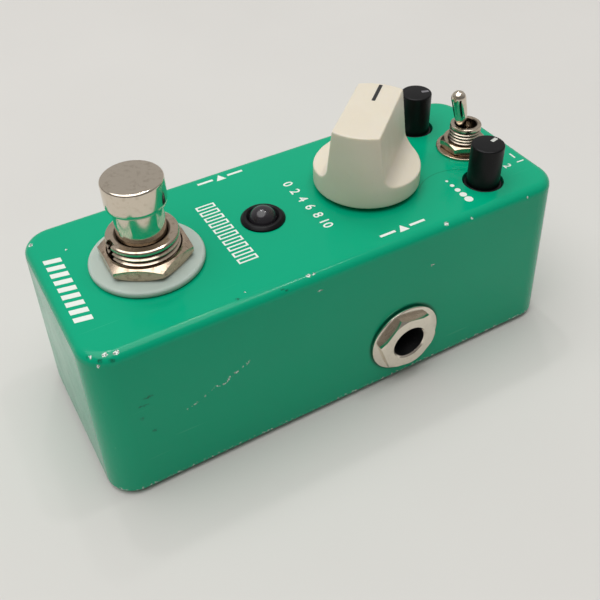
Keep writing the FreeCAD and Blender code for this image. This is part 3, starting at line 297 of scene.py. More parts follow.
    # bare die-cast metal is bright where it was struck and dull where it has aged, in fine flecks
    flecks = addNode(tree, "TexNoise", {"Vector": place, "Scale": perMm(film["bareFleck"]), "Detail": 1.0})
    age = addNode(tree, "MapRange", {0: flecks, 1: 0.42, 2: 0.60})
    metal = addNode(tree, "Mix", {"Factor": age, 6: film["bareColors"][0], 7: film["bareColors"][1]},
                    data_type="RGBA")
    paint = addNode(tree, "Mix", {"Factor": bare, 6: green, 7: metal}, data_type="RGBA")
    # handling leaves the gloss a little uneven in smears; bare metal is duller
    smear = addNode(tree, "TexNoise", {"Vector": place, "Scale": perMm(film["smear"]), "Detail": 3.0})
    sleek, dull = film["gloss"]
    gloss = addNode(tree, "MapRange", {0: smear, 1: 0.3, 2: 0.7, 3: sleek, 4: dull}, **eased)
    gloss = addNode(tree, "Mix", {"Factor": bare, 2: gloss, 3: film["bareRoughness"]})
    # orange peel, and chips that sit below the film
    peel = addNode(tree, "TexNoise", {"Vector": place, "Scale": perMm(film["peel"]), "Detail": 1.0})
    level = addNode(tree, "Math", {0: bare, 1: -film["chipDepth"], 2: peel}, operation="MULTIPLY_ADD")
    relief = addNode(tree, "Bump", {"Height": level, "Distance": film["peelDepth"] * mm, "Strength": 0.5})
    coat = addNode(tree, "BsdfPrincipled", {"Base Color": paint, "Roughness": gloss, "Normal": relief,
                   "Specular IOR Level": film["specular"]})
    addNode(tree, "OutputMaterial", {"Surface": coat})
    return material


# sprayed enamel on a casting: an even green with a soft gloss, orange peel, and chips down to pale metal
enamel = makeEnamel("sprayed green enamel", wearAndShade)
# the same film on the flat plate: even green, rubbed only where it meets the rim
plateEnamel = makeEnamel("sprayed green enamel on sheet", None)


def makeMetal(name, color, stain, stained, roughness, rubbed=0.06, thread=None):
    # bare or plated metal: stained in patches, with a wandering roughness and hairlines wider than life; thread
    # gives x, y and top of a barrel, and the radii of its roots, clean crests and mouth; painted shade with
    # some grime darkens the roots and the mouth
    material, tree, place = startMaterial(name)
    patches = addNode(tree, "TexNoise", {"Vector": place, "Scale": perMm(0.9), "Detail": 4.0})
    tarnish = addNode(tree, "MapRange", {0: patches, 1: 0.5, 2: 0.72, 4: stained}, **eased)
    paint = addNode(tree, "Mix", {"Factor": tarnish, 6: color, 7: stain}, data_type="RGBA")
    if thread:
        x, y, top, rootRadius, crestRadius, mouthRadius = thread
        away = distance(tree, place, (x, y, 0), (1, 1, 0))
        # painted shade with some grime: dark brown in the thread's roots and at the bore's mouth
        hollowShadeAndGrime = addNode(tree, "MapRange", {0: away, 1: crestRadius * mm, 2: rootRadius * mm, 4: 0.8}, **eased)
        above = addNode(tree, "MapRange", {0: away, 1: (rootRadius - 0.5) * mm, 2: (rootRadius - 0.1) * mm})
        below = addNode(tree, "MapRange", {0: addNode(tree, "SeparateXYZ", {0: place}).outputs["Z"],
                        1: (top - 0.15) * mm, 2: (top - 0.35) * mm})
        for limit in (above, below):
            hollowShadeAndGrime = addNode(tree, "Math", {0: hollowShadeAndGrime, 1: limit}, operation="MULTIPLY")
        mouth = addNode(tree, "MapRange", {0: away, 1: (mouthRadius + 0.25) * mm, 2: mouthRadius * mm,
                        4: 0.85})
        hollowShadeAndGrime = addNode(tree, "Math", {0: hollowShadeAndGrime, 1: mouth}, operation="MAXIMUM")
        paint = addNode(tree, "Mix", {"Factor": hollowShadeAndGrime, 6: paint, 7: "#33261B"}, data_type="RGBA")
    smear = addNode(tree, "TexNoise", {"Vector": place, "Scale": perMm(2.2), "Detail": 4.0})
    gloss = addNode(tree, "MapRange", {0: smear, 1: 0.35, 2: 0.7, 3: roughness * 0.85,
                    4: roughness * 1.25}, **eased)
    rub = addNode(tree, "Mapping", {"Vector": place, "Rotation": (0.3, 0.5, 0.9),
                  "Scale": (12000, 500, 5000)})
    lines = addNode(tree, "TexNoise", {"Vector": rub, "Scale": 1.0, "Detail": 2.0})
    relief = addNode(tree, "Bump", {"Height": lines, "Distance": 0.003 * mm, "Strength": rubbed})
    plate = addNode(tree, "BsdfPrincipled", {"Base Color": paint, "Roughness": gloss, "Normal": relief,
                    "Metallic": 1.0})
    addNode(tree, "OutputMaterial", {"Surface": plate})
    return material


switchY = inMm("footswitch_nut")[2].y
toggleY = inMm("toggle_nut")[2].y
# button and lever: near-mirror with a warm cast, so they show the green panel and the room
nickel = makeMetal("bright nickel plate", "#DACFBF", "#9C8B76", 0.25, 0.12)
# jack ferrules: the same plate rubbed by plugs, softer reflections
satinNickel = makeMetal("rubbed nickel plate", "#E8DED0", "#A39582", 0.2, 0.2, 0.1)
# nuts and washer: plate gone brownish from handling, streaky
nutNickel = makeMetal("dulled nickel plate", "#C6B29D", "#6E5642", 0.5, 0.23, 0.12)
# threads: pale crests over roots darkened by painted shade with some grime
barrelNickel = makeMetal("nickel plate on a coarse thread", "#CDBDAA", "#84705C", 0.35, 0.19, 0.1,
                         (0, switchY, inMm("footswitch_bushing")[1].z, 5.55, 5.9, 4.45))
toggleNickel = makeMetal("nickel plate on a small thread", "#C6B9A8", "#7E6A56", 0.4, 0.27, 0.1,
                         (0, toggleY, inMm("toggle_bushing")[1].z, 2.65, 2.9, 2.1))
# bluish-white screws, a little chalky
zinc = makeMetal("zinc plate on screw steel", "#B9B6AE", "#7E776B", 0.5, 0.33, 0.3)
# cool grey with blurred reflections
stampedSteel = makeMetal("stamped bright steel", "#B4B4B2", "#8A8782", 0.3, 0.3, 0.3)
# darker grey with drawn lines
springSteel = makeMetal("drawn spring steel", "#9D9D9F", "#6E6A66", 0.3, 0.28, 0.3)
# pale and soft, like solder
tinned = makeMetal("tinned copper", "#C9C7C0", "#9C9488", 0.3, 0.36, 0.2)
# flat grey covers with light scuffs
potSteel = makeMetal("plated cover steel", "#B3B2AE", "#8C8880", 0.3, 0.3, 0.3)
# light grey with fine turning marks
turnedAlloy = makeMetal("turned aluminium alloy", "#C2C2C2", "#A3A2A0", 0.2, 0.27, 0.5)


def makePlastic(name, color, shade, roughness, pit, pitDepth, dust=0.0, dustColor="#8E8C88", **sockets):
    # moulded plastic: faint clouding, a moulded texture of pit millimetres, and fine specks of dust
    material, tree, place = startMaterial(name)
    cloud = addNode(tree, "TexNoise", {"Vector": place, "Scale": perMm(5), "Detail": 3.0})
    paint = addNode(tree, "Mix", {"Factor": cloud, 6: color, 7: shade}, data_type="RGBA")
    specks = addNode(tree, "TexNoise", {"Vector": place, "Scale": perMm(0.28), "Detail": 1.0})
    speck = addNode(tree, "MapRange", {0: specks, 1: 0.70, 2: 0.76, 4: dust}, **eased)
    paint = addNode(tree, "Mix", {"Factor": speck, 6: paint, 7: dustColor}, data_type="RGBA")
    smear = addNode(tree, "TexNoise", {"Vector": place, "Scale": perMm(2.5), "Detail": 3.0})
    gloss = addNode(tree, "MapRange", {0: smear, 1: 0.3, 2: 0.7, 3: roughness * 0.85,
                    4: roughness * 1.2}, **eased)
    pits = addNode(tree, "TexNoise", {"Vector": place, "Scale": perMm(pit), "Detail": 2.0})
    relief = addNode(tree, "Bump", {"Height": pits, "Distance": pitDepth * mm, "Strength": 0.5})
    looks = {"Base Color": paint, "Roughness": gloss, "Normal": relief}
    looks |= {key.replace("_", " "): value for key, value in sockets.items()}
    skin = addNode(tree, "BsdfPrincipled", looks)
    addNode(tree, "OutputMaterial", {"Surface": skin})
    return material


# warm off-white that lets a little light in, so its shadows are soft and its edges glow
ivory = makePlastic("moulded ivory ABS", "#DDD5C4", "#D7CEBB", 0.36, 0.6, 0.008, 0.2, "#B9AE95", IOR=1.5,
                    Subsurface_Weight=0.3, Subsurface_Scale=0.0015, Subsurface_Radius=(1.0, 0.8, 0.5))
# deep black with a soft sheen
blackAbs = makePlastic("moulded black ABS", "#060608", "#0A0A0D", 0.34, 0.35, 0.006, 0.2, "#4A484C",
                       Specular_IOR_Level=0.22)
# cloudy white that picks up the green under it
nylon = makePlastic("milky nylon", "#B4C0B7", "#A9B7AE", 0.42, 0.8, 0.008, 0.3, "#9FB0A6", IOR=1.53,
                    Subsurface_Weight=0.5, Subsurface_Scale=0.002, Subsurface_Radius=(1.0, 0.9, 0.8))
# dark grey glassy dome with a sharp highlight
smoked = makePlastic("smoked epoxy", "#2B282D", "#242126", 0.14, 3.0, 0.002, 0.15, "#6C6A70", IOR=1.55)
# dull black with an open, crumbly grain
padRubber = makePlastic("foamed rubber", "#161616", "#1D1C1B", 0.88, 0.5, 0.12, 0.5, "#55524D")
# plain workshop blue and red, half matte
blueNylon = makePlastic("moulded blue nylon", "#1C4A96", "#17407F", 0.45, 0.5, 0.01, 0.1)
redNylon = makePlastic("moulded red nylon", "#9B1E1C", "#861917", 0.42, 0.5, 0.01, 0.1)
# filler paint wiped into a groove: matte, slightly uneven
blackPaint = makePlastic("black filler paint", "#141414", "#1C1B1A", 0.5, 0.3, 0.01, 0.1)
whitePaint = makePlastic("white filler paint", "#C9CBC6", "#B9BBB5", 0.5, 0.3, 0.01, 0.2, "#8A8882")
# a greyer copy of the white filler paint, so the mark reads as grey
greyedPaint = makePlastic("greyed white filler paint", "#77757A", "#5E5C60", 0.5, 0.3, 0.01, 0.3, "#8A8882")
# matte charcoal of moulded chips
chipEpoxy = makePlastic("moulded chip epoxy", "#222222", "#2A2A2A", 0.6, 0.25, 0.02, 0.2)
# shiny dark blue film, shrunk tight
canSleeve = makePlastic("shrunk sleeve", "#1B2440", "#141C33", 0.3, 2.0, 0.01, 0.1)
# lumpy glossy brick red
redEpoxy = makePlastic("dipped red epoxy", "#8E231A", "#7A1C15", 0.28, 2.5, 0.05, 0.1)
# screen print: opaque, flat white with pinholes that show the green
printInk = makePlastic("white screen ink", "#E9ECE6", "#D9DED6", 0.5, 0.3, 0.01, 0.4, "#7FBF9E")
# flat black of connector bodies
plugBlack = makePlastic("moulded black nylon", "#121214", "#18181A", 0.5, 0.4, 0.015, 0.3)

# glass laminate under solder mask: dark green gloss, with tracks showing as a lighter relief
laminate, tree, place = startMaterial("solder-masked laminate")
tracks = addNode(tree, "TexBrick", {"Vector": place, "Scale": 1.0, "Mortar Size": 0.0003,
                 "Brick Width": 0.0042, "Row Height": 0.00127, "Mortar Smooth": 0.2},
                 offset=0.35).outputs["Fac"]
paint = addNode(tree, "Mix", {"Factor": tracks, 6: "#0C4227", 7: "#1C6B42"}, data_type="RGBA")
relief = addNode(tree, "Bump", {"Height": tracks, "Distance": 0.035 * mm, "Strength": 0.8})
mask = addNode(tree, "BsdfPrincipled", {"Base Color": paint, "Roughness": 0.34, "Normal": relief})
addNode(tree, "OutputMaterial", {"Surface": mask})

# grey vinyl on six wires side by side: soft ridges along the cable, with painted shade darkening the grooves
# and painted light on the crests
wirePitch = 1.27
ribbonGrey, tree, place = startMaterial("grey ribbon insulation")
waves = math.tau / 20 * perMm(wirePitch)  # a wave texture makes 20 / tau waves per unit
wires = addNode(tree, "TexWave", {"Vector": place, "Scale": waves}, wave_profile="SIN").outputs["Fac"]
paint = addNode(tree, "Mix", {"Factor": wires, 6: "#6F7276", 7: "#9C9FA3"}, data_type="RGBA")
relief = addNode(tree, "Bump", {"Height": wires, "Distance": 0.3 * mm, "Strength": 0.8})
vinyl = addNode(tree, "BsdfPrincipled", {"Base Color": paint, "Roughness": 0.5, "Normal": relief})
addNode(tree, "OutputMaterial", {"Surface": vinyl})
print("finishes made")


def finishPiece(name, bm, material, body, replaced=(), angle=32):
    # bmesh in millimetres to a piece that rides a body; angle is where its shading turns sharp
    bmesh.ops.remove_doubles(bm, verts=bm.verts, dist=1e-5)
    bmesh.ops.recalc_face_normals(bm, faces=bm.faces)
    piece = makeObject(name, bm)
    piece.data.materials.append(material)
    piece.data.shade_smooth()
    piece.data.set_sharp_from_angle(angle=math.radians(angle))
    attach(piece, body)
    if replaced:
        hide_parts(*replaced)
    return piece


def makeObject(name, bm):  # object in metres from a bmesh in millimetres, which it frees
    bmesh.ops.scale(bm, vec=(mm, mm, mm), verts=bm.verts)
    mesh = bpy.data.meshes.new(name)
    bm.to_mesh(mesh)
    bm.free()
    made = bpy.data.objects.new(name, mesh)
    scene.collection.objects.link(made)
    return made


def allOf(bm):
    return bm.verts[:] + bm.edges[:] + bm.faces[:]


def only(kind, items):
    return [item for item in items if isinstance(item, kind)]


def rounded(bm, geom, size, segments, affect="EDGES"):
    bmesh.ops.bevel(bm, geom=geom, offset=size, affect=affect, segments=segments, profile=0.5, material=-1)


def stepped(radius, height, steps):  # outline points as steps from a radius and a height
    return [(radius + out, height + up, *edge) for out, up, *edge in steps]


def spun(bm, outline, steps=96, closed=True):
    # turns an outline of (radius, height) about the upright axis; a third number rounds that corner
    older = set(bm.verts[:] + bm.edges[:])
    verts = [bm.verts.new((point[0], 0, point[1])) for point in outline]
    for pair in zip(verts, verts[1:] + (verts[:1] if closed else [])):
        bm.edges.new(pair)
    for vert, point in zip(verts, outline):
        if len(point) > 2:
            rounded(bm, [vert], point[2], 4 + int(4 * point[2]), "VERTICES")
    profile = [item for item in bm.verts[:] + bm.edges[:] if item not in older]
    bmesh.ops.spin(bm, geom=profile, cent=(0, 0, 0), axis=(0, 0, 1), angle=math.tau, steps=steps,
                   use_merge=True)
    bmesh.ops.remove_doubles(bm, verts=bm.verts, dist=1e-5)
    bmesh.ops.recalc_face_normals(bm, faces=bm.faces)


def block(width, length, height):
    bm = bmesh.new()
    bmesh.ops.create_cube(bm, size=1.0)
    bmesh.ops.scale(bm, vec=(width, length, height), verts=bm.verts)
    return bm


def hexagon(bm, flats, angle):  # trims everything in the bmesh to a hexagon whose corners start at angle
    for i in range(6):
        turn = math.radians(angle + 30 + 60 * i)
        normal = Vector((math.cos(turn), math.sin(turn), 0))
        cut = bmesh.ops.bisect_plane(bm, geom=allOf(bm), dist=1e-6, plane_co=normal * flats / 2,
                                     plane_no=normal, clear_outer=True)
        bmesh.ops.holes_fill(bm, edges=only(bmesh.types.BMEdge, cut["geom_cut"]), sides=0)
    bmesh.ops.recalc_face_normals(bm, faces=bm.faces)


def softenCorners(bm, size):  # small rolled edge between neighbouring flats, which turn by 60 degrees
    corners = [edge for edge in bm.edges if len(edge.link_faces) == 2
               and 50 < math.degrees(edge.calc_face_angle()) < 70
               and abs(edge.verts[0].co.z - edge.verts[1].co.z) > 0.5]
    rounded(bm, corners, size, 3)


def breakEdges(piece, width):  # every edge of a turned and milled piece catches a thin line of light
    edges = piece.modifiers.new("brokenEdges", "BEVEL")
    edges.width = width * mm
    edges.segments = 2
    edges.limit_method = "ANGLE"
    edges.angle_limit = math.radians(26)
    edges.harden_normals = True


def moved(bm, x, y, z=0.0):
    bmesh.ops.translate(bm, vec=(x, y, z), verts=bm.verts)


def turned(bm, degrees, axis="Z"):
    turn = Matrix.Rotation(math.radians(degrees), 3, axis)
    bmesh.ops.rotate(bm, verts=bm.verts, cent=(0, 0, 0), matrix=turn)


# one turn of a thread: steps in millimetres from its crest and from its root, at parts of the pitch
threadCrest = [(-0.04, 0.0), (0.0, 0.04), (0.0, 0.14)]
threadRoot = [(0.03, 0.48), (0.0, 0.54), (0.0, 0.60), (0.03, 0.66)]


def threaded(radius, depth, pitch, start, end):  # outline of thread crests and roots from start up to end
    outline = []
    z = start
    while z + pitch < end:
        outline += [(radius + out, z + part * pitch) for out, part in threadCrest]
        outline += [(radius - depth + out, z + part * pitch) for out, part in threadRoot]
        z += pitch
    return outline + [(radius, z)]


def evaluated(piece):  # new mesh of a piece as its modifiers leave it
    return bpy.data.meshes.new_from_object(piece.evaluated_get(bpy.context.evaluated_depsgraph_get()))


def applyModifiers(piece):
    mesh = evaluated(piece)
    piece.modifiers.clear()
    piece.data = mesh
    return mesh


def carve(piece, bm):  # takes a bmesh in millimetres out of a piece
    bmesh.ops.recalc_face_normals(bm, faces=bm.faces)
    cutter = makeObject("cutter", bm)
    cutting = piece.modifiers.new("cut", "BOOLEAN")
    cutting.object = cutter
    cutting.solver = "EXACT"
    applyModifiers(piece).set_sharp_from_angle(angle=math.radians(20))
    bpy.data.objects.remove(cutter)


footswitch = {
    "stem": 1.5, "flange": 4.9, "flangeHeight": 1.2, "flangeGap": 0.05, "neck": 4.1, "flare": (0.12, 0.25),
    "cap": 5.0, "capHeight": 4.8, "capFoot": [(-0.5, 0.02), (-0.16, 0.14), (0.0, 0.7, 0.2)], "capEdge": 0.42,
    "threadRadius": 6.0, "threadDepth": 0.5, "pitch": 1.0, "bore": 4.16, "threadEnd": 0.3,
    "rim": [(0.0, -0.35), (-0.12, -0.12), (-0.36, 0.0)], "mouth": [(0.36, 0.0), (0.05, -0.2), (0.0, -0.4)],
    "keyway": 1.7, "keywayDepth": 0.8, "keywayAngle": 275, "keywayLength": 6.0,
}
buttonLow, buttonHigh, buttonMiddle = inMm("footswitch_plunger")
bodyTop = inMm("footswitch_bushing")[0].z
stem, flange, neck, cap = [footswitch[key] for key in ("stem", "flange", "neck", "cap")]
capFoot = buttonHigh.z - footswitch["capHeight"]
flangeTop = bodyTop - footswitch["flangeGap"]
flangeFoot = flangeTop - footswitch["flangeHeight"]
bm = bmesh.new()
flare = footswitch["flare"]
spun(bm, [(0, buttonLow.z), (stem, buttonLow.z), (stem, flangeFoot), (flange, flangeFoot),
          (flange, flangeTop), (neck, flangeTop), (neck, capFoot - flare[1]), (neck + flare[0], capFoot)]
     + stepped(cap, capFoot, footswitch["capFoot"])
     + [(cap, buttonHigh.z, footswitch["capEdge"]), (0, buttonHigh.z)], 128, closed=False)
moved(bm, 0, buttonMiddle.y)
finishPiece("switchButton", bm, nickel, "footswitch", ["footswitch_plunger"], 20)

returnSpring = {"radius": 3.6, "wire": 0.35, "turns": 5, "stepsPerTurn": 32, "travel": 3.0}
low, high, middle = inMm("footswitch_spring")
wire, steps = returnSpring["wire"], returnSpring["turns"] * returnSpring["stepsPerTurn"]
bm = bmesh.new()
bmesh.ops.create_circle(bm, cap_ends=True, segments=10, radius=wire)
turned(bm, 90, "X")
moved(bm, returnSpring["radius"], 0)
rise = (high.z - low.z - 2 * wire) / steps
bmesh.ops.spin(bm, geom=allOf(bm), cent=(0, 0, 0), axis=(0, 0, 1), dvec=(0, 0, rise),
               angle=math.tau * returnSpring["turns"], steps=steps)
moved(bm, 0, middle.y, low.z + wire)
coil = finishPiece("returnSpring", bm, springSteel, "housing", ["footswitch_spring"])
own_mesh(coil)

nutLow, nutHigh, nutMiddle = inMm("footswitch_nut")
barrelTop = inMm("footswitch_bushing")[1].z
radius, bore, pitch = footswitch["threadRadius"], footswitch["bore"], footswitch["pitch"]
bm = bmesh.new()
threadTop = barrelTop - footswitch["threadEnd"]
spun(bm, [(bore, bodyTop), (radius, bodyTop)]
     + threaded(radius, footswitch["threadDepth"], pitch, nutHigh.z - pitch, threadTop)
     + stepped(radius, barrelTop, footswitch["rim"]) + stepped(bore, barrelTop, footswitch["mouth"]), 128)
moved(bm, 0, nutMiddle.y)
barrel = finishPiece("switchBarrel", bm, barrelNickel, "housing", ["footswitch_bushing"])
bm = block(2, footswitch["keyway"], barrelTop - panelTop + footswitch["keywayLength"])
moved(bm, radius - footswitch["keywayDepth"] + 1, 0, barrelTop)
turned(bm, footswitch["keywayAngle"])
moved(bm, 0, nutMiddle.y)
carve(barrel, bm)

softWasher = {"bore": 6.05, "radius": 9.7, "edge": 0.5}
low, high, middle = inMm("footswitch_washer")
bm = bmesh.new()
spun(bm, [(softWasher["bore"], low.z), (softWasher["radius"], low.z, softWasher["edge"]),
          (softWasher["radius"], high.z, softWasher["edge"]), (softWasher["bore"], high.z)], 160)
moved(bm, 0, middle.y)
finishPiece("softWasher", bm, nylon, "housing", ["footswitch_washer"], 60)


def hexCrown(values):  # corner and crown radius of a hexagon, and the drop of its 30 degree chamfer
    corner = values["flats"] / math.sqrt(3)
    crown = values["crown"] * values["flats"]
    return corner, crown, (corner - crown) * math.tan(math.radians(30))


def hexNut(name, values, material, replaced, x, y, low):
    # turned blank with both faces chamfered, trimmed to six flats
    corner, crown, drop = hexCrown(values)
    top, bore, mouth = values["height"], values["bore"], values["mouth"]
    bm = bmesh.new()
    spun(bm, [(bore, mouth), (bore + mouth, 0), (crown, 0), (corner, drop), (corner, top - drop),
              (crown, top), (bore + mouth, top), (bore, top - mouth)], 144)
    hexagon(bm, values["flats"], values["angle"])
    softenCorners(bm, values["edge"])
    moved(bm, x, y, low)
    breakEdges(finishPiece(name, bm, material, "housing", [replaced], 22), values["brokenEdge"])


switchNut = {"flats": 13.8, "height": 2.4, "bore": 6.05, "mouth": 0.2, "angle": -1.0, "crown": 0.48,
             "edge": 0.16, "brokenEdge": 0.07}
hexNut("switchNut", switchNut, nutNickel, "footswitch_nut", 0, nutMiddle.y, nutLow.z)
print("footswitch made")

lampSetup = {"bezelRadius": 3.98, "brim": 0.25, "lip": (2.95, 3.45), "bore": 2.55, "sleeve": 3.2,
             "rounding": 0.1, "mouth": [(0.2, 0.45), (0.0, 0.3)], "dome": 2.5, "foot": 2.9, "footHeight": 1.0}
low, high, middle = inMm("lamp_bezel")
bore, sleeve, brim, soft = [lampSetup[key] for key in ("bore", "sleeve", "bezelRadius", "rounding")]
bm = bmesh.new()
spun(bm, [(bore, low.z), (sleeve, low.z), (sleeve, panelTop), (brim, panelTop),
          (brim, panelTop + lampSetup["brim"], soft), (lampSetup["lip"][1], high.z, soft),
          (lampSetup["lip"][0], high.z, soft)] + stepped(bore, panelTop, lampSetup["mouth"]), 96)
moved(bm, 0, middle.y)
finishPiece("lampBezel", bm, blackAbs, "housing", ["lamp_bezel"], 40)
low, high, middle = inMm("lamp")
foot, dome, footTop = lampSetup["foot"], lampSetup["dome"], low.z + lampSetup["footHeight"]
bm = bmesh.new()
spun(bm, [(0, low.z), (foot, low.z), (foot, footTop), (dome, footTop), (dome, high.z, dome), (0, high.z)], 96,
     closed=False)
moved(bm, 0, middle.y)
finishPiece("lampDome", bm, smoked, "housing", ["lamp"], 40)
print("lamp made")

knob = {
    "baseRadius": 9.75, "topRadius": 9.55, "footEdge": 0.3, "rim": 3.1, "recess": 6.6, "recessDepth": 3.6,
    "barWidth": 8.3, "spread": 1.0, "flankDepth": 8.2, "scoop": 1.77, "cutReach": 11, "cutOver": 2,
    "socket": 3.06, "socketDepth": 10.0, "turn": 42.5, "grain": 0.17, "softening": 6,
    "pointerWidth": 0.66, "pointerStart": 3.2, "pointerInset": 0.5, "pointerDepth": 0.45, "pointerRise": 0.02,
    "pointerEdge": 0.12,
}
knobLow, knobHigh = inMm("drive_knob")[:2]
axisY = inMm("drive_shaft")[2].y
recess, recessTop = knob["recess"], knobLow.z + knob["recessDepth"]
base, rimTop = knob["baseRadius"], knobLow.z + knob["rim"]
bm = bmesh.new()
spun(bm, [(0, recessTop), (recess, recessTop), (recess, knobLow.z), (base, knobLow.z, knob["footEdge"]),
          (base, rimTop), (knob["topRadius"], knobHigh.z), (0, knobHigh.z)], 160, closed=False)
knobPiece = finishPiece("driveKnob", bm, ivory, "drive", ["drive_knob"], 40)
# both flanks are one extruded outline: a leaning face that runs into the rim through a hollow of 3 mm radius
lean = math.atan2(knob["spread"], knob["flankDepth"])
halfBar, scoop = knob["barWidth"] / 2, knob["scoop"]
flankFoot = (halfBar + knob["spread"] + scoop * math.sin(lean), 0,
             knobHigh.z - knob["flankDepth"] - scoop * math.cos(lean))
reach, cutTop = knob["cutReach"], knobHigh.z + knob["cutOver"]
flankTop = (halfBar - knob["cutOver"] * math.tan(lean), 0, cutTop)
bm = bmesh.new()
flank = [bm.verts.new(corner) for corner in (flankTop, flankFoot, (reach, 0, rimTop), (reach, 0, cutTop))]
bm.faces.new(flank)
rounded(bm, [flank[1]], scoop, 12, "VERTICES")
moved(bm, 0, -reach)
grown = bmesh.ops.extrude_face_region(bm, geom=bm.faces[:])["geom"]
bmesh.ops.translate(bm, vec=(0, 2 * reach, 0), verts=only(bmesh.types.BMVert, grown))
other = bmesh.ops.duplicate(bm, geom=allOf(bm))["geom"]
bmesh.ops.scale(bm, vec=(-1, 1, 1), verts=only(bmesh.types.BMVert, other))
carve(knobPiece, bm)
socket, socketTop = knob["socket"], knobLow.z + knob["socketDepth"]
bm = bmesh.new()  # blind hole for the shaft
spun(bm, [(0, knobLow.z - 1), (socket, knobLow.z - 1), (socket, socketTop), (0, socketTop)], 64, closed=False)
carve(knobPiece, bm)
# moulded edges: remeshed finely and smoothed, which leaves a radius of about half a millimetre
remesh = knobPiece.modifiers.new("skin", "REMESH")
remesh.mode = "VOXEL"
remesh.voxel_size = knob["grain"] * mm
smoothing = knobPiece.modifiers.new("soft", "SMOOTH")
smoothing.factor = 0.5
smoothing.iterations = knob["softening"]
moulded = applyModifiers(knobPiece)
bm = bmesh.new()
bm.from_mesh(moulded)
turned(bm, knob["turn"])
moved(bm, 0, axisY * mm)
bm.to_mesh(moulded)
bm.free()
moulded.materials.clear()
moulded.materials.append(ivory)
moulded.shade_smooth()
print("drive knob made:", len(moulded.polygons), "faces")

# the pointer is a bar of paint that stands a hair proud of the knob's flat top
barLength = knob["topRadius"] - knob["pointerStart"] - knob["pointerInset"]
depth = knob["pointerDepth"]
bm = block(knob["pointerWidth"], barLength, depth)
moved(bm, 0, knob["pointerStart"] + barLength / 2, knobHigh.z + knob["pointerRise"] - depth / 2)
upright = [edge for edge in bm.edges if abs(edge.verts[0].co.z - edge.verts[1].co.z) > 0.1]
rounded(bm, upright, knob["pointerEdge"], 3)
turned(bm, knob["turn"])
moved(bm, 0, axisY)
finishPiece("drivePointer", bm, blackPaint, "drive", ["drive_pointer"])

slimKnob = {"radius": 3.0, "foot": 3.6, "footHeight": 0.9, "edge": 0.3, "shoulderEdge": 0.2, "dish": 0.06,
            "bore": 1.55, "boreTop": 2.4, "pointerWidth": 0.7, "pointerLength": 1.4, "pointerInset": 0.55,
            "pointerDepth": 0.3, "pointerRise": 0.01,
            "finish": {"tone": (15.0, whitePaint), "volume": (-20.0, greyedPaint)}}
for body, (angle, paint) in slimKnob["finish"].items():
    low, high, middle = inMm(body + "_knob")
    edge, shoulder, boreTop = slimKnob["edge"], low.z + slimKnob["footHeight"], high.z - slimKnob["boreTop"]
    radius, foot, bore = slimKnob["radius"], slimKnob["foot"], slimKnob["bore"]
    bm = bmesh.new()
    spun(bm, [(bore, low.z), (foot, low.z, edge), (foot, shoulder, edge),
              (radius, shoulder, slimKnob["shoulderEdge"]), (radius, high.z, edge),
              (0, high.z - slimKnob["dish"]), (0, boreTop), (bore, boreTop)], 96)
    moved(bm, middle.x, middle.y)
    finishPiece(body + "Knob", bm, blackAbs, body, [body + "_knob"], 40)
    length, depth = slimKnob["pointerLength"], slimKnob["pointerDepth"]
    bm = block(slimKnob["pointerWidth"], length, depth)
    moved(bm, 0, radius - slimKnob["pointerInset"] - length / 2, high.z + slimKnob["pointerRise"] - depth / 2)
    turned(bm, angle)
    moved(bm, middle.x, middle.y)
    finishPiece(body + "Pointer", bm, paint, body, [body + "_pointer"])
print("slim knobs made")

toggle = {
    "radius": 2.95, "bore": 2.05, "pitch": 0.635, "depth": 0.34, "threadEnd": 0.3,
    "rim": [(0.0, -0.3), (-0.08, -0.08), (-0.28, 0.0)], "mouth": [(0.12, 0.0), (0.0, -0.12)],
    "washer": 5.2, "washerBore": 3.0, "washerEdge": 0.12, "washerBoreEdge": 0.1, "tilt": 14.3,
    "pivotRise": 1.4, "ball": 1.98, "tail": 7.6, "tailRadius": 0.6, "tailEdge": 0.25, "collar": (-1.5, -1.2),
    "neck": 0.86, "swell": [(0.0, 4.1, 0.6), (0.32, 5.6, 0.7)], "body": (1.3, 7.2, 0.6),
    "tip": 1.4, "length": 11.6,
}
low, high, middle = inMm("toggle_bushing")
radius, bore, pitch = toggle["radius"], toggle["bore"], toggle["pitch"]
bm = bmesh.new()
spun(bm, [(bore, low.z), (radius, low.z)]
     + threaded(radius, toggle["depth"], pitch, inMm("toggle_nut")[1].z - pitch, high.z - toggle["threadEnd"])
     + stepped(radius, high.z, toggle["rim"]) + stepped(bore, high.z, toggle["mouth"]), 96)
moved(bm, 0, middle.y)
finishPiece("toggleBarrel", bm, toggleNickel, "housing", ["toggle_bushing"], 20)
low, high, middle = inMm("toggle_washer")
washer, bore, edge = toggle["washer"], toggle["washerBore"], toggle["washerEdge"]
bm = bmesh.new()
spun(bm, [(bore, low.z), (washer, low.z, edge), (washer, high.z, edge),
          (bore, high.z, toggle["washerBoreEdge"])], 96)
moved(bm, 0, middle.y)
finishPiece("toggleWasher", bm, nutNickel, "housing", ["toggle_washer"], 60)
toggleNut = {"flats": 7.9, "height": 1.7, "bore": 3.0, "mouth": 0.15, "angle": 0.0, "crown": 0.48,
             "edge": 0.1, "brokenEdge": 0.05}
low, high, middle = inMm("toggle_nut")
hexNut("toggleNut", toggleNut, nutNickel, "toggle_nut", 0, middle.y, low.z)
bm = bmesh.new()  # bat lever with its pivot ball
ball, neck, tip, length = [toggle[key] for key in ("ball", "neck", "tip", "length")]
tailRadius, tailEnd = toggle["tailRadius"], -toggle["tail"]
spun(bm, [(0, -ball), (ball, -ball, ball), (ball, ball, ball), (0, ball)], 64, closed=False)
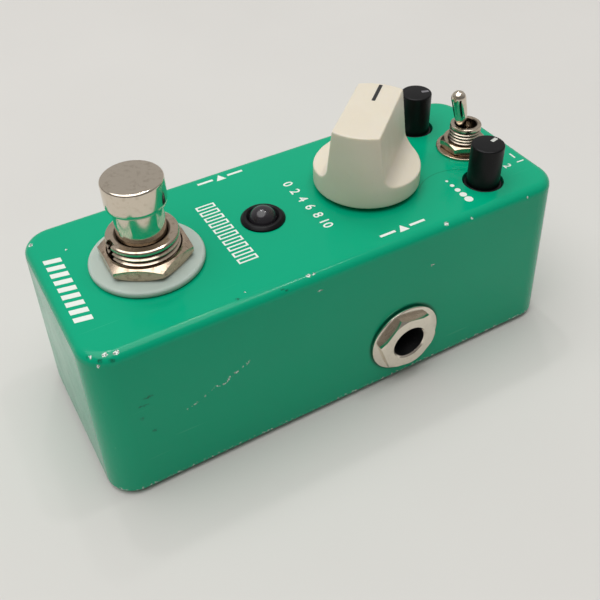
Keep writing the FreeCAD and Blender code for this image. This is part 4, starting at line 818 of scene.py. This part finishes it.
spun(bm, [(0, tailEnd), (tailRadius, tailEnd, toggle["tailEdge"]), (tailRadius, toggle["collar"][0]),
          (neck, toggle["collar"][1])] + stepped(neck, 0, toggle["swell"])
     + [toggle["body"], (tip, length, tip), (0, length)], 64, closed=False)
turned(bm, toggle["tilt"], "X")
moved(bm, 0, middle.y, panelTop + toggle["pivotRise"])
finishPiece("toggleLever", bm, nickel, "toggle", ["toggle_lever"], 40)
print("toggle made")

ferrule = {"flange": 7.2, "flangeHeight": 0.6, "flangeEdge": 0.22, "flats": 11.0, "height": 1.45, "bore": 3.3,
           "sleeve": 4.4, "sleeveLength": 6.0, "angle": 18.4, "edge": 0.14, "crown": 0.515, "mouth": 0.3,
           "brightMouth": 0.5, "brokenEdge": 0.06}
for name, side in (("input", 1), ("output", -1)):  # made upright, then laid over to each side
    low, high, middle = inMm(name + "_ferrule")
    bore, foot, flangeTop = ferrule["bore"], -ferrule["sleeveLength"], ferrule["flangeHeight"]
    flange, sleeve, edge = ferrule["flange"], ferrule["sleeve"], ferrule["flangeEdge"]
    top = flangeTop + ferrule["height"]
    flangeX = (high.x if side > 0 else -low.x) - top
    corner, crown, drop = hexCrown(ferrule)
    bm = bmesh.new()
    spun(bm, [(bore, flangeTop), (corner, flangeTop), (corner, top - drop), (crown, top),
              (bore + ferrule["mouth"], top), (bore, top - ferrule["mouth"])], 144)
    hexagon(bm, ferrule["flats"], ferrule["angle"])
    softenCorners(bm, ferrule["edge"])
    spun(bm, [(bore, foot), (sleeve, foot), (sleeve, 0), (flange, 0, edge), (flange, flangeTop, edge),
              (bore, flangeTop)], 128)
    turned(bm, 90, "Y")
    moved(bm, flangeX, middle.y, middle.z)
    if side < 0:
        bmesh.ops.scale(bm, vec=(-1, 1, 1), verts=bm.verts)
    piece = finishPiece(name + "Ferrule", bm, satinNickel, "housing", [name + "_ferrule"], 22)
    piece.data.materials.append(plugBlack)
    blackX = flangeX + top - ferrule["brightMouth"]
    for face in piece.data.polygons:  # the wall of the bore is black below its mouth
        across = face.center.yz - Vector((middle.y, middle.z)) * mm
        if across.length < (bore + 0.03) * mm and abs(face.center.x) < blackX * mm:
            face.material_index = 1
    breakEdges(piece, ferrule["brokenEdge"])
print("ferrules made")

# white print on the panel: plain bars, arrowheads, dots, a wedge and numbers only
panelPrint = {
    "depth": 0.02, "sunk": 0.005, "numberWeight": 0.035,
    "frontBars": {"from": -8.8, "step": 2.0, "count": 9, "y": -43.8, "width": 1.15, "height": 2.9,
                  "lean": 0.5},
    "ladder": {"from": -9.0, "step": 1.86, "count": 10, "y": -15.9, "width": 1.25, "height": 3.6,
               "line": 0.32},
    "driveNumbers": {"text": ["0", "2", "4", "6", "8", "10"], "from": -6.9, "step": 2.76, "y": 1.85,
                     "size": 2.6},
    "marks": {"places": [(15.0, 12.4), (-15.4, -7.9)], "arrow": [(-0.95, 0), (0.75, -0.98), (0.75, 0.98)],
              "left": -0.3, "starts": (1.5, -4.6), "width": 0.55, "height": 3.1},
    "toneDots": {"from": 7.7, "step": 1.62, "count": 5, "y": 27.3, "radius": 0.28, "growth": 0.13},
    "volumeWedge": {"from": -14.6, "to": -7.0, "y": 26.4, "height": 1.8},
    "modeNumbers": {"x": 9.6, "rows": [("1", 43.0), ("2", 39.9)], "size": 2.2,
                    "dash": (-3.0, -0.15, 1.6, 0.32)},
}
printZ = panelTop - panelPrint["sunk"]
printMesh = bmesh.new()


def inkFaces(faces):  # gives flat faces the thickness of the ink
    grown = bmesh.ops.extrude_face_region(printMesh, geom=faces)["geom"]
    bmesh.ops.translate(printMesh, vec=(0, 0, panelPrint["depth"]), verts=only(bmesh.types.BMVert, grown))


def addShape(corners, line=None):  # inked shape from its corners, in millimetres; line keeps only its border
    faces = [printMesh.faces.new([printMesh.verts.new((x, y, printZ)) for x, y in corners])]
    if line:
        inner = faces[0]
        inner.normal_update()
        faces = bmesh.ops.inset_region(printMesh, faces=[inner], thickness=line, use_boundary=True,
                                       use_even_offset=True)["faces"]
        bmesh.ops.delete(printMesh, geom=[inner], context="FACES_ONLY")
    inkFaces(faces)


def addBar(x, y, width, height, lean=0.0, line=None):
    addShape([(x, y), (x + width, y), (x + width + lean, y + height), (x + lean, y + height)], line)


def addNumber(text, x, y, size):
    curve = bpy.data.curves.new("number", "FONT")
    curve.body = text
    curve.size = size
    curve.align_x = "CENTER"
    curve.align_y = "CENTER"
    curve.extrude = panelPrint["depth"] / 2
    curve.offset = panelPrint["numberWeight"]
    curve.resolution_u = 4
    holder = bpy.data.objects.new("number", curve)
    scene.collection.objects.link(holder)
    flat = evaluated(holder)
    flat.transform(Matrix.Translation((x, y, printZ + panelPrint["depth"] / 2)))
    printMesh.from_mesh(flat)
    bpy.data.objects.remove(holder)


for row in (panelPrint["frontBars"], panelPrint["ladder"]):
    for i in range(row["count"]):
        addBar(row["from"] + i * row["step"], row["y"], row["width"], row["height"], row.get("lean", 0),
               row.get("line"))
row = panelPrint["driveNumbers"]
for i, text in enumerate(row["text"]):
    addNumber(text, row["from"] + i * row["step"], row["y"], row["size"])
row = panelPrint["marks"]
for x, y in row["places"]:  # an arrowhead between two strokes, at each jack
    addShape([(x + right, y + up) for right, up in row["arrow"]])
    for start in row["starts"]:
        addBar(x + row["left"], y + start, row["width"], row["height"])
row = panelPrint["toneDots"]
for i in range(row["count"]):
    middle = Matrix.Translation((row["from"] + i * row["step"], row["y"], printZ))
    dot = bmesh.ops.create_circle(printMesh, cap_ends=True, segments=24, matrix=middle,
                                  radius=row["radius"] + row["growth"] * i)
    inkFaces([dot["verts"][0].link_faces[0]])
row = panelPrint["volumeWedge"]
addShape([(row["from"], row["y"]), (row["to"], row["y"]), (row["to"], row["y"] + row["height"])])
row = panelPrint["modeNumbers"]
right, up, width, height = row["dash"]
for text, y in row["rows"]:
    addNumber(text, row["x"], y, row["size"])
    addBar(row["x"] + right, y + up, width, height)
finishPiece("panelPrint", printMesh, printInk, "housing")
print("panel print made")

# CAD nodes that keep their shape get their own finishes
nodeFinishes = {
    enamel: ["shell"], plateEnamel: ["base_plate"], padRubber: ["base_pad"], zinc: ["base_screws"],
    stampedSteel: ["footswitch_frame", "footswitch_lock_washer", "drive_washer", "toggle_inner_washer"],
    nickel: ["footswitch_lower_nut", "drive_bushing", "drive_nut"], blueNylon: ["footswitch_body"],
    springSteel: ["input_contacts", "output_contacts"],
    tinned: ["footswitch_lugs", "lamp_leads", "pot_pins", "toggle_pins", "dc_pin"],
    laminate: ["switch_board", "main_board"], ribbonGrey: ["ribbon_cable"], blackAbs: ["lamp_ring"],
    turnedAlloy: ["drive_shaft", "tone_shaft", "volume_shaft"],
    potSteel: ["drive_pot", "tone_pot", "volume_pot"],
    redNylon: ["toggle_body"], plugBlack: ["input_jack", "output_jack", "dc_inlet"],
    chipEpoxy: ["op_amps", "resistors"],
    canSleeve: ["electrolytic_capacitors"], redEpoxy: ["film_capacitors"],
}
for material, names in nodeFinishes.items():
    for name in names:
        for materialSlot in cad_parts[name].material_slots:
            materialSlot.material = material
print("CAD finishes set")
